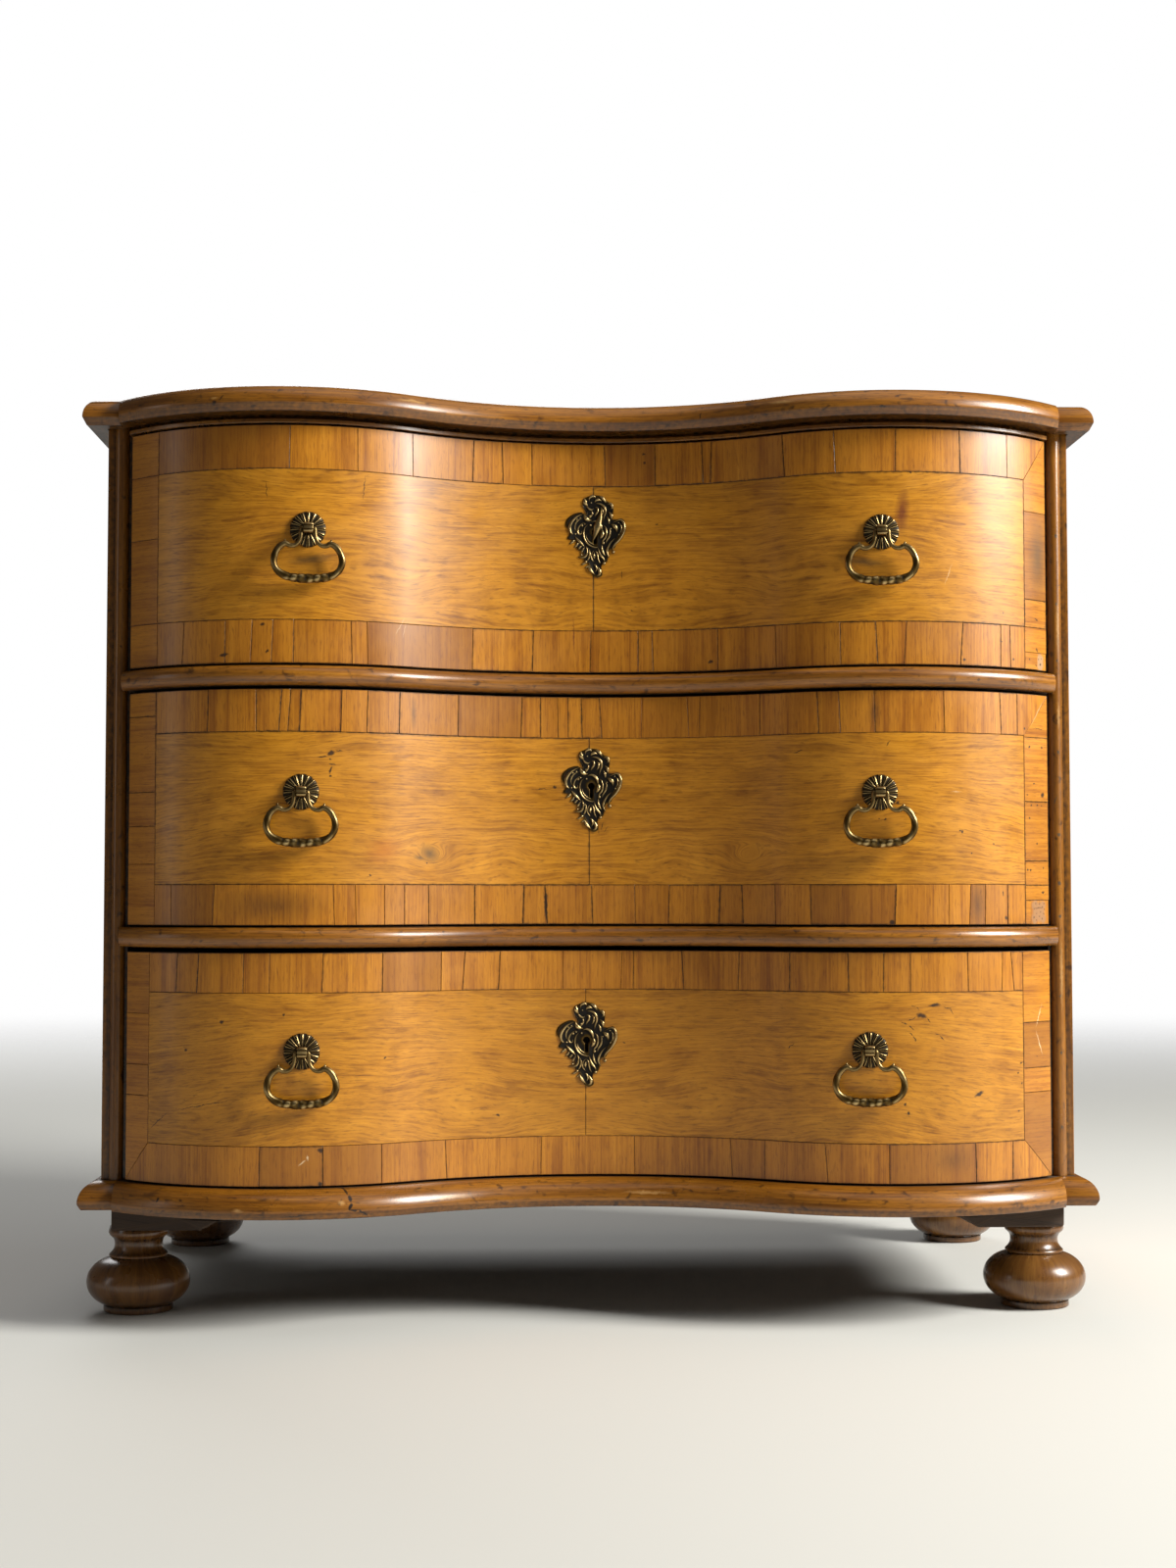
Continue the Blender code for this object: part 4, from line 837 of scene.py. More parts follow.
def add_case(finishes):
    """Top with its core, and the veneer on both sides."""
    x = np.linspace(-EAR_END, EAR_END, 81)
    front = np.stack([x, front_depth(x, TOP_FACE)], -1)
    ends = [(end, EAR_DEPTH + 0.0003 + ORIGIN_Y) for end in (-SIDE_OUTER, -EAR_END, EAR_END, SIDE_OUTER)]
    back, low, high = DEPTH + ORIGIN_Y, TOP_LEVEL, HEIGHT - VENEER + CORE
    sections = [
        [(x, y, low), (x, back, low), (x, back, high), (x, y, high)]
        for x, y in (*ends[:2], *front, *ends[2:])]
    add_piece("top_quilt", [*top_quilt(), *loft(sections)], finishes["veneer"], "carcase",
              ["top_board"])
    for hand, side in (("left", -1), ("right", 1)):
        add_piece(f"{hand}_quilt", side_quilt(side), finishes["veneer"], "carcase")


def foot_profile():
    """Pad, bun, ring, waisted neck and collar from the floor up, with their painted shade: dark in the
    creases and at the foot.

    The bun is the outer side of an ellipse, and its painted shade, darkest under its swell, fades with the
    height over the pad.
    """
    turn = np.linspace(-math.acos(0.0125 / 0.030), math.acos(0.0068 / 0.030), 34)
    bun = list(zip(0.022 + 0.0298 * np.cos(turn), 0.0300 + 0.0245 * np.sin(turn)))
    rows = [(0.0, 0.0, 0.6), (0.0330, 0.0, 0.8), (0.0345, 0.0008, 0.6), (0.0347, 0.0032, 0.3),
            (0.0345, 0.0062, 0.7), (0.0338, 0.0070, 1.0)]
    rows += [(r, z, 0.85 * math.exp(-(z - 0.0080) / 0.004)) for r, z in bun[2:-1]]
    rows += [(0.0284, 0.0544, 0.9), (0.0292, 0.0551, 0.2), (0.0295, 0.0562, 0.0), (0.0292, 0.0573, 0.3),
             (0.0280, 0.0584, 0.8), (0.0262, 0.0604, 0.6), (0.0246, 0.0634, 0.4), (0.0240, 0.0668, 0.4),
             (0.0243, 0.0702, 0.6), (0.0255, 0.0730, 0.8), (0.0272, 0.0746, 0.4), (0.0292, 0.0764, 0.1),
             (0.0302, 0.0788, 0.2), (0.0299, 0.0812, 0.5), (0.0292, 0.0830, 0.8), (0.0290, 0.0845, 0.9),
             (0.0, 0.0847, 1.0)]
    return rows


def add_feet(finishes):
    """Four bun feet, and the rough sawn rails that join them under each side."""
    for end in ("front", "back"):
        for hand, side in (("left", -1), ("right", 1)):
            middle = sum(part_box(f"{end}_{hand}_foot"), Vector()) / 2
            grids = turned(foot_profile(), middle.x, middle.y)
            grids[0][1][..., 0] += side + middle.y - ORIGIN_Y
            add_piece(f"{end}_{hand}_bun", grids, finishes["turned"], "carcase",
                      [f"{end}_{hand}_foot"])
    for hand, side in (("left", -1), ("right", 1)):
        rng = np.random.default_rng(40 + side)
        outline = rounded([(0.4773, 0.0853), (0.4773, 0.1117), (0.3663, 0.1117), (0.3663, 0.0975),
                           (0.3790, 0.0902), (0.3883, 0.0853)], 0.002, 4)
        stations = np.concatenate([[0.030, 0.0312], np.linspace(0.036, 0.565, 70), [0.5718, 0.573]])
        middle = outline.mean(0)
        sections = []
        for i, y in enumerate(stations):
            inset = 1.2e-3 if i in (0, len(stations) - 1) else 0.0
            shape = outline - np.sign(outline - middle) * (inset + rng.uniform(0, 0.0014, outline.shape))
            depths = np.full(len(shape), y + ORIGIN_Y)
            sections.append(np.column_stack([side * shape[:, 0], depths, shape[:, 1]]))
        add_piece(f"{hand}_rough_rail", loft(sections, light=0.5, shift=2 + side), finishes["rough"],
                  "carcase", [f"{hand}_foot_rail"])


def set_at_hinge(hinge):
    """Maps points from a handle's own axes, with y running into the drawer, to its bail's hinge."""
    across = -np.array(hinge["axis"])
    inward = np.array([-across[1], across[0], 0.0])
    base = np.array(hinge["pos_m"]) + PIVOT_REACH * inward

    def put(points):
        return base + points @ np.stack([across, inward, (0, 0, 1)])
    return put


def rose(put):
    """Scalloped rose of 16 lobes, its knuckle, and the shank's head inside the drawer.

    The rose's height is a flattened dome. Each lobe is a hollow flute between two raised edges,
    and between lobes lies a narrow valley: all three are bell curves of the angle's sine.
    """
    share, angle = np.meshgrid(np.concatenate([np.linspace(0.0, 0.9, 16), [0.94, 0.97, 0.99, 1.0, 1.0]]),
                               np.linspace(0, math.tau, 16 * 14 + 1), indexing="ij")
    valley = np.exp(-(np.sin(8 * angle) / 0.22) ** 2)
    edge = np.exp(-((np.abs(np.sin(8 * angle)) - 0.52) / 0.17) ** 2)
    flute = np.exp(-(np.cos(8 * angle) / 0.80) ** 2)
    spread = np.clip((share - 0.26) / 0.22, 0, 1)
    radius = ROSE_RADIUS * share * (1 - 0.055 * valley * share ** 3)
    height = 0.0024 + 0.0036 * np.sqrt(np.maximum(1 - share ** 2, 0.0))
    height += spread * (0.0008 * edge - 0.0004 * flute - 0.0005 * valley)
    height -= 0.0007 * np.clip((share - 0.94) / 0.06, 0, 1) ** 2
    height[-1] = 0.0009
    relief = np.clip(0.16 + 0.80 * edge * spread + 0.12 * flute * (1 - share), 0.02, 1.0)
    relief[-1] = 0.05
    tone = np.stack([0 * relief, 0 * relief, relief], -1)
    points = np.stack([radius * np.cos(angle), -height, radius * np.sin(angle)], -1)
    grids = [patch(put(points), np.zeros(2), tone)]

    nose, root = -0.0172, -0.0035
    outline = np.array([
        (root, -0.0050), (nose + 0.0030, -0.0050), (nose + 0.0008, -0.0046), (nose, -0.0036),
        (nose, -0.0026), (nose + 0.0014, -0.0020), (nose, -0.0014), (nose, 0.0014), (nose + 0.0014, 0.0020),
        (nose, 0.0026), (nose, 0.0036), (nose + 0.0008, 0.0046), (nose + 0.0030, 0.0050), (root, 0.0050)])
    middle = outline.mean(0)
    sections = []
    for x, size in ((-0.0046, 0.90), (-0.0041, 1.0), (0.0041, 1.0), (0.0046, 0.90)):
        shape = middle + (outline - middle) * size
        sections.append(np.column_stack([np.full(len(shape), x), shape]))
    loops = loft(sections)
    for points, *_ in loops:
        deep = np.clip((-points[..., 1] - 0.006) / 0.010, 0, 1)
        relief = 0.15 + 0.6 * deep
        grids.append(patch(put(points), np.zeros(2), np.stack([0 * relief, 0 * relief, relief], -1)))

    turn = np.linspace(0, math.tau, 17)
    rows = [(0.0025, -0.004), (0.0025, 0.0248), (0.0055, 0.0248), (0.0052, 0.0262), (0.0030, 0.0272),
            (0.0, 0.0273)]
    points = np.stack([np.stack([r * np.cos(turn), y + 0 * turn, r * np.sin(turn)], -1) for r, y in rows])
    grids.append(patch(put(points), np.zeros(2), (0.0, 0.0, 0.45)))
    return grids


# The bail's right half from its pivot: across, up and radius, in millimetres.
BAIL = (
    (5.2, 0.0, 1.5), (6.5, -1.2, 1.8), (6.7, -5.5, 1.9), (7.5, -10.5, 1.9), (9.8, -14.9, 2.0),
    (13.4, -17.5, 2.2), (17.6, -17.6, 2.4), (21.6, -15.9, 2.8), (26.2, -18.0, 3.1), (30.0, -22.6, 3.2),
    (32.3, -28.5, 3.2), (32.6, -35.0, 3.2), (30.0, -41.3, 3.3), (25.2, -45.4, 3.6), (18.5, -48.0, 4.0),
    (9.5, -49.3, 4.3), (0.0, -49.6, 4.4),
)


def bail(put):
    """Cast bail on a smooth curve, with leaves on its grip and loops and a spur on each shoulder.

    The leaves are ridges that wind round the rod: a cosine of twice the turn plus the distance
    along it. On the grip the ridges also rise and fall by the sine of the distance.
    """
    right = [(x / 1000, z / 1000, r / 1000) for x, z, r in BAIL]
    path = curve(right + [(-x, z, r) for x, z, r in reversed(right[:-1])], 260)
    x, z, radius = path.T
    run = np.arctan2(np.gradient(z), np.gradient(x))
    length = np.abs(np.cumsum(np.hypot(np.gradient(x), np.gradient(z))) - 0.0955)
    turn = np.linspace(0, math.tau, 25)
    loop = np.clip((-z - 0.021) / 0.006, 0, 1)
    grip = np.clip((0.0235 - np.abs(x)) / 0.004, 0, 1) * (z < -0.04)
    wind = np.cos(2 * turn + np.sign(x)[:, None] * length[:, None] * 300)
    scale = np.abs(np.sin(length * math.pi / 0.0075))[:, None]
    carve = loop[:, None] * (0.06 * wind + grip[:, None] * 0.15 * (scale - 0.6))
    out = radius[:, None] * (1 + carve) * np.cos(turn)
    points = np.stack([
        x[:, None] - out * np.sin(run)[:, None], radius[:, None] * (1 + carve) * np.sin(turn) - PIVOT_REACH,
        z[:, None] + out * np.cos(run)[:, None]], -1)
    relief = np.clip(0.53 + 2.9 * carve + 0.08 * (1 - loop)[:, None], 0.05, 1.0) + 0 * out
    tone = np.stack([0 * relief, 0 * relief, relief], -1)
    grids = [patch(put(points), np.zeros(2), tone)]
    for end in (0, -1):
        middle = np.broadcast_to(points[end, :-1].mean(0), points[end].shape)
        grids.append(patch(put(np.stack([points[end], middle])), np.zeros(2), (0, 0, 0.4)))
    for side in (-1, 1):
        spur = curve([(0.0180, -0.0172, 0.0022), (0.0210, -0.0152, 0.0020), (0.0222, -0.0131, 0.0013),
                      (0.0219, -0.0116, 0.0004)], 12)
        x, z, radius = spur.T
        run = np.arctan2(np.gradient(z), np.gradient(x))
        out = radius[:, None] * np.cos(turn)
        points = np.stack([
            side * (x[:, None] - out * np.sin(run)[:, None]), radius[:, None] * np.sin(turn) - PIVOT_REACH,
            z[:, None] + out * np.cos(run)[:, None]], -1)
        grids.append(patch(put(points), np.zeros(2), (0, 0, 0.62)))
    return grids


# The escutcheon's silhouette, clockwise from its crest, as shares of its half width and height.
PLATE = (
    (-0.02, 1.00), (0.20, 0.98), (0.36, 0.88), (0.50, 0.80), (0.62, 0.70), (0.60, 0.55),
    (0.55, 0.44), (0.72, 0.40), (0.88, 0.43), (1.00, 0.34), (0.99, 0.20), (0.84, 0.02),
    (0.72, -0.14), (0.66, -0.28), (0.48, -0.34), (0.44, -0.50), (0.40, -0.62), (0.26, -0.66),
    (0.20, -0.80), (0.24, -0.94), (0.08, -1.00), (-0.08, -0.94), (-0.14, -0.80), (-0.24, -0.66),
    (-0.38, -0.58), (-0.42, -0.40), (-0.62, -0.30), (-0.66, -0.12), (-0.94, -0.06), (-0.86, 0.08),
    (-1.00, 0.26), (-0.94, 0.42), (-0.72, 0.54), (-0.46, 0.58), (-0.32, 0.50), (-0.28, 0.62),
    (-0.42, 0.74), (-0.40, 0.90), (-0.22, 0.97),
)
# Its raised work in millimetres: a curve's points, its half widths at the start, the middle and
# the end, and its height.
SCROLLS = (
    # Crest
    (((-10.4, 39.4), (-10.6, 36.6), (-9.8, 33.2), (-7.5, 30.4)), (1.0, 2.6, 1.2), 2.6),
    (((-8.5, 31.1), (-6.4, 28.2), (-3.3, 27.1), (-1.2, 28.9)), (1.2, 1.0, 0.5), 2.0),
    (((-6.1, 35.6), (-5.7, 39.0), (-3.3, 40.9), (-0.6, 40.4), (0.3, 38.4)), (0.8, 1.6, 0.8), 2.4),
    (((-0.6, 34.6), (1.2, 37.0), (3.9, 37.2), (6.4, 35.9)), (1.2, 1.8, 0.8), 2.6),
    (((3.2, 40.9), (6.4, 39.7), (9.1, 37.0), (10.9, 33.9)), (0.9, 1.7, 1.0), 2.4),
    # Curl and leaf on its right
    (((12.4, 32.5), (15.0, 33.5), (16.7, 31.8), (17.3, 29.0), (15.0, 27.8)), (1.0, 1.7, 0.9), 2.4),
    # Stems under it
    (((-0.6, 33.2), (2.9, 33.5), (7.0, 32.1), (9.7, 28.7), (10.4, 24.2), (8.8, 19.4), (7.9, 14.5)),
     (0.8, 1.5, 1.0), 2.6),
    (((5.3, 30.4), (7.4, 26.6), (7.0, 22.8), (5.0, 20.0)), (0.7, 1.2, 0.6), 2.0),
    (((-0.6, 29.4), (2.1, 29.0), (2.6, 25.6), (0.5, 22.1), (-0.6, 19.4)), (0.7, 1.3, 0.6), 2.2),
    (((-4.0, 26.6), (-3.0, 23.5), (-4.7, 20.0), (-6.8, 17.3)), (0.8, 1.2, 0.8), 1.8),
    # Leaf on their right
    (((12.9, 25.2), (15.7, 22.8), (16.7, 19.4), (15.7, 17.3)), (0.8, 1.8, 0.6), 2.2),
    (((11.9, 20.7), (13.6, 16.6), (14.3, 12.4)), (0.7, 1.3, 1.2), 2.0),
    # Left shoulder, ear and scroll
    (((-11.3, 23.2), (-10.2, 19.4), (-7.1, 16.6), (-3.3, 16.2)), (1.2, 2.4, 1.0), 2.8),
    (((-11.6, 22.8), (-16.4, 21.1), (-20.9, 18.0), (-24.4, 13.5), (-25.8, 8.3), (-24.7, 3.8),
     (-22.3, 1.7)), (1.0, 2.0, 1.6), 2.6),
    (((-12.3, 18.7), (-16.4, 16.9), (-19.6, 13.5), (-20.6, 9.0), (-19.6, 4.8)), (0.7, 1.0, 0.7), 1.6),
    (((-9.5, 14.5), (-13.7, 12.4), (-16.8, 9.0), (-17.8, 4.8), (-16.1, 2.1), (-13.7, 3.1), (-14.0, 5.5)),
     (0.7, 1.2, 0.6), 2.0),
    # Frame round the keyhole
    (((-6.8, 12.4), (-10.2, 9.0), (-11.6, 3.5), (-10.9, -2.1), (-8.2, -6.9), (-4.0, -10.0), (0.8, -11.4),
     (3.2, -10.7)), (0.9, 1.1, 0.9), 2.4),
    (((-9.5, 2.1), (-8.5, -2.1), (-6.1, -5.5), (-2.6, -7.9), (0.1, -9.0)), (0.5, 0.8, 0.5), 1.8),
    (((-4.0, 14.5), (0.1, 15.5), (3.6, 13.8), (6.0, 10.4), (6.7, 6.2)), (1.0, 1.6, 1.8), 2.6),
    (((6.7, 6.9), (7.4, 3.5), (6.7, 0.0), (4.6, -2.4)), (1.5, 2.2, 1.4), 2.8),
    (((8.1, 11.7), (10.5, 9.0), (11.5, 4.1), (10.5, -0.7), (8.1, -4.1), (7.0, -7.6)),
     (0.8, 1.1, 1.2), 2.2),
    # Right wave, shoulder, ear and lower scroll
    (((14.3, 9.0), (15.3, 4.8), (14.3, 0.0), (11.9, -4.1), (10.5, -7.6)), (0.8, 1.1, 0.7), 2.0),
    (((15.7, 12.4), (18.5, 11.1), (21.2, 8.3), (21.9, 4.1)), (1.0, 2.4, 1.0), 2.8),
    (((16.7, 12.8), (20.9, 15.3), (25.4, 16.8), (28.5, 14.2), (29.7, 9.0), (28.1, 2.8), (24.3, -3.5),
     (19.8, -8.3), (17.8, -12.1), (18.0, -14.9)), (0.9, 1.7, 1.3), 2.8),
    (((24.3, 13.8), (26.4, 10.4), (26.3, 5.5), (24.0, 1.7)), (0.5, 0.9, 0.5), 1.8),
    (((20.9, -1.4), (16.4, -5.5), (13.3, -10.4), (11.9, -15.2), (12.9, -19.0), (14.3, -21.8)),
     (0.7, 1.3, 0.9), 2.2),
    # Left lower leaf with its spikes and hook
    (((-20.9, 0.0), (-17.8, -3.5), (-13.7, -7.6), (-10.6, -11.1)), (0.9, 1.5, 0.9), 2.4),
    (((-20.6, -4.1), (-23.4, -6.2), (-26.1, -8.6)), (1.6, 1.4, 0.4), 1.8),
    (((-17.1, -6.9), (-19.2, -9.7), (-21.3, -12.1)), (1.4, 1.2, 0.4), 1.8),
    (((-13.7, -9.7), (-15.8, -11.7), (-16.8, -14.2)), (1.2, 1.0, 0.4), 1.8),
    (((-10.6, -11.1), (-13.0, -14.9), (-13.7, -18.0)), (0.9, 1.0, 0.6), 2.0),
    # Left flute
    (((-9.5, -9.7), (-8.0, -13.8), (-8.5, -18.0), (-10.6, -21.1), (-14.4, -21.8), (-17.8, -21.1)),
     (1.0, 1.4, 0.6), 2.4),
    (((-6.1, -13.1), (-5.4, -18.0), (-6.4, -22.1), (-8.5, -25.6)), (0.8, 1.2, 1.0), 2.2),
    # Drop under the keyhole
    (((-0.6, -14.2), (-3.0, -16.6), (-4.0, -20.0), (-3.3, -23.5), (-0.9, -26.3)), (0.7, 0.9, 0.7), 2.0),
    (((-0.6, -14.2), (1.7, -16.6), (2.6, -20.7), (3.6, -24.9), (5.3, -28.0)), (0.7, 1.0, 0.7), 2.0),
    (((-0.6, -16.6), (-1.2, -20.0), (-0.6, -23.5)), (0.6, 1.5, 0.6), 1.8),
    # Right flute
    (((3.2, -11.7), (3.9, -15.9), (5.7, -19.7), (8.4, -22.8), (9.5, -26.3)), (0.8, 1.4, 1.0), 2.4),
    (((7.0, -9.0), (7.0, -13.1), (8.4, -17.3), (10.5, -20.0)), (0.8, 1.2, 0.6), 2.0),
    # Lower spikes
    (((-9.5, -27.0), (-12.3, -28.3), (-15.1, -28.7)), (1.2, 1.0, 0.4), 1.6),
    (((-6.8, -29.7), (-8.8, -31.4), (-10.6, -32.1)), (1.1, 0.9, 0.4), 1.6),
    # Foot
    (((-7.1, -29.0), (-6.1, -32.5), (-3.7, -35.9), (-0.6, -39.0)), (1.2, 1.9, 1.2), 2.6),
    (((-0.6, -29.7), (2.6, -31.8), (4.6, -35.9), (3.9, -39.0), (1.2, -40.4)), (1.0, 1.8, 1.4), 2.6),
    (((-1.9, -29.0), (0.1, -29.4), (1.5, -33.2), (0.1, -36.6)), (0.8, 1.2, 0.8), 2.0),
)
# The cover that has turned down over the upper keyhole, in the same way
COVER = (((6.4, 29.0), (5.0, 20.0), (2.4, 10.0), (0.0, 2.0), (-3.3, -6.9)), (1.6, 4.4, 1.6), 4.0)
# Round beads: across, up and radius, in millimetres
BEADS = (
    (-18.5, 17.3, 0.9), (-15.1, 18.7, 0.9), (-20.2, 13.5, 0.8), (-5.4, 20.7, 1.1), (-13.3, 10.9, 1.2),
    (-19.9, 2.4, 1.0), (-10.6, 12.4, 0.8), (-4.8, 11.4, 1.0), (18.5, -16.1, 1.7), (24.0, 1.7, 0.9),
    (23.5, 13.8, 0.7), (8.1, -6.9, 1.5), (-13.8, -19.2, 1.2), (-9.5, -26.3, 1.7), (9.1, -27.5, 1.7),
    (-4.0, 34.2, 0.8), (16.0, 7.9, 0.8),
)


def escutcheon(middle, covered):
    """Cast plate round its keyhole with raised scrolls and beads, bent to the hollow.

    The plate is blended evenly from the keyhole's edge, a circle over a slot, to its outline. A
    scroll is a half ellipse swept along a curve, tapering at both ends by the root of a sine.
    """
    def put(x, z, off):
        return np.stack([middle.x + x, front_depth(middle.x + x, off), middle.z + z], -1)

    def shade(relief):
        return np.stack([0 * relief, 0 * relief, relief], -1)

    outer = curve([*PLATE, PLATE[0]], 241) * PLATE_HALF
    angle = np.arctan2(outer[:, 1] - KEYHOLE_RISE, outer[:, 0])
    hole = np.stack([0.0037 * np.cos(angle), KEYHOLE_RISE + 0.0037 * np.sin(angle)], -1)
    slot = (angle < -0.95) & (angle > 0.95 - math.pi)
    hole[slot] = np.stack([
        np.clip(-2.4 * KEYHOLE_RISE / np.tan(angle[slot]), -0.0018, 0.0018),
        np.where(np.abs(angle[slot] + math.pi / 2) < 0.35, -0.0079, 0.0009)], -1)
    # Share of the way from the keyhole to the outline, height off the front, and relief
    rows = [(0.0, 0.0009, 0.05), (0.0, 0.0020, 0.45), (0.04, 0.0024, 0.5), (0.10, 0.0020, 0.14),
            (0.5, 0.0020, 0.1), (0.9, 0.0020, 0.1), (0.965, 0.0024, 0.4), (1.0, 0.0019, 0.45),
            (1.0, 0.0009, 0.05)]
    points = np.stack([put(*(hole + (outer - hole) * s).T, off) for s, off, _ in rows])
    relief = np.array([r for *_, r in rows])[:, None] + np.zeros(len(outer))
    grids = [patch(points, np.zeros(2), shade(relief))]

    round_over = np.linspace(0, math.pi, 9)
    for nodes, widths, rise in (*SCROLLS, COVER) if covered else SCROLLS:
        path = curve(np.array(nodes) / 1000, 8 * len(nodes))
        share = np.linspace(0, 1, len(path))
        taper = np.sqrt(np.sin(math.pi * np.clip(share, 0.004, 0.996)))
        half = np.interp(share, (0, 0.5, 1), widths) / 1000 * taper
        run = np.arctan2(np.gradient(path[:, 1]), np.gradient(path[:, 0]))
        across = half[:, None] * np.cos(round_over)
        up = np.sin(round_over) * (0.35 + 0.65 * np.minimum(1, half / half.max()))[:, None]
        x = path[:, :1] - across * np.sin(run)[:, None]
        z = path[:, 1:] + across * np.cos(run)[:, None]
        points = put(x, z, 0.0014 + up * rise * 0.00085)
        grids.append(patch(points, np.zeros(2), shade(0.14 + 0.84 * up)))
    tilt, around = np.meshgrid(np.linspace(0, math.pi / 2, 6), np.linspace(0, math.tau, 13), indexing="ij")
    for bead in BEADS:
        x, z, size = np.array(bead) / 1000
        points = put(x + size * np.cos(tilt) * np.cos(around), z + size * np.cos(tilt) * np.sin(around),
                     0.0016 + 1.2 * size * np.sin(tilt))
        grids.append(patch(points, np.zeros(2), shade(0.2 + 0.7 * np.sin(tilt))))
    return grids


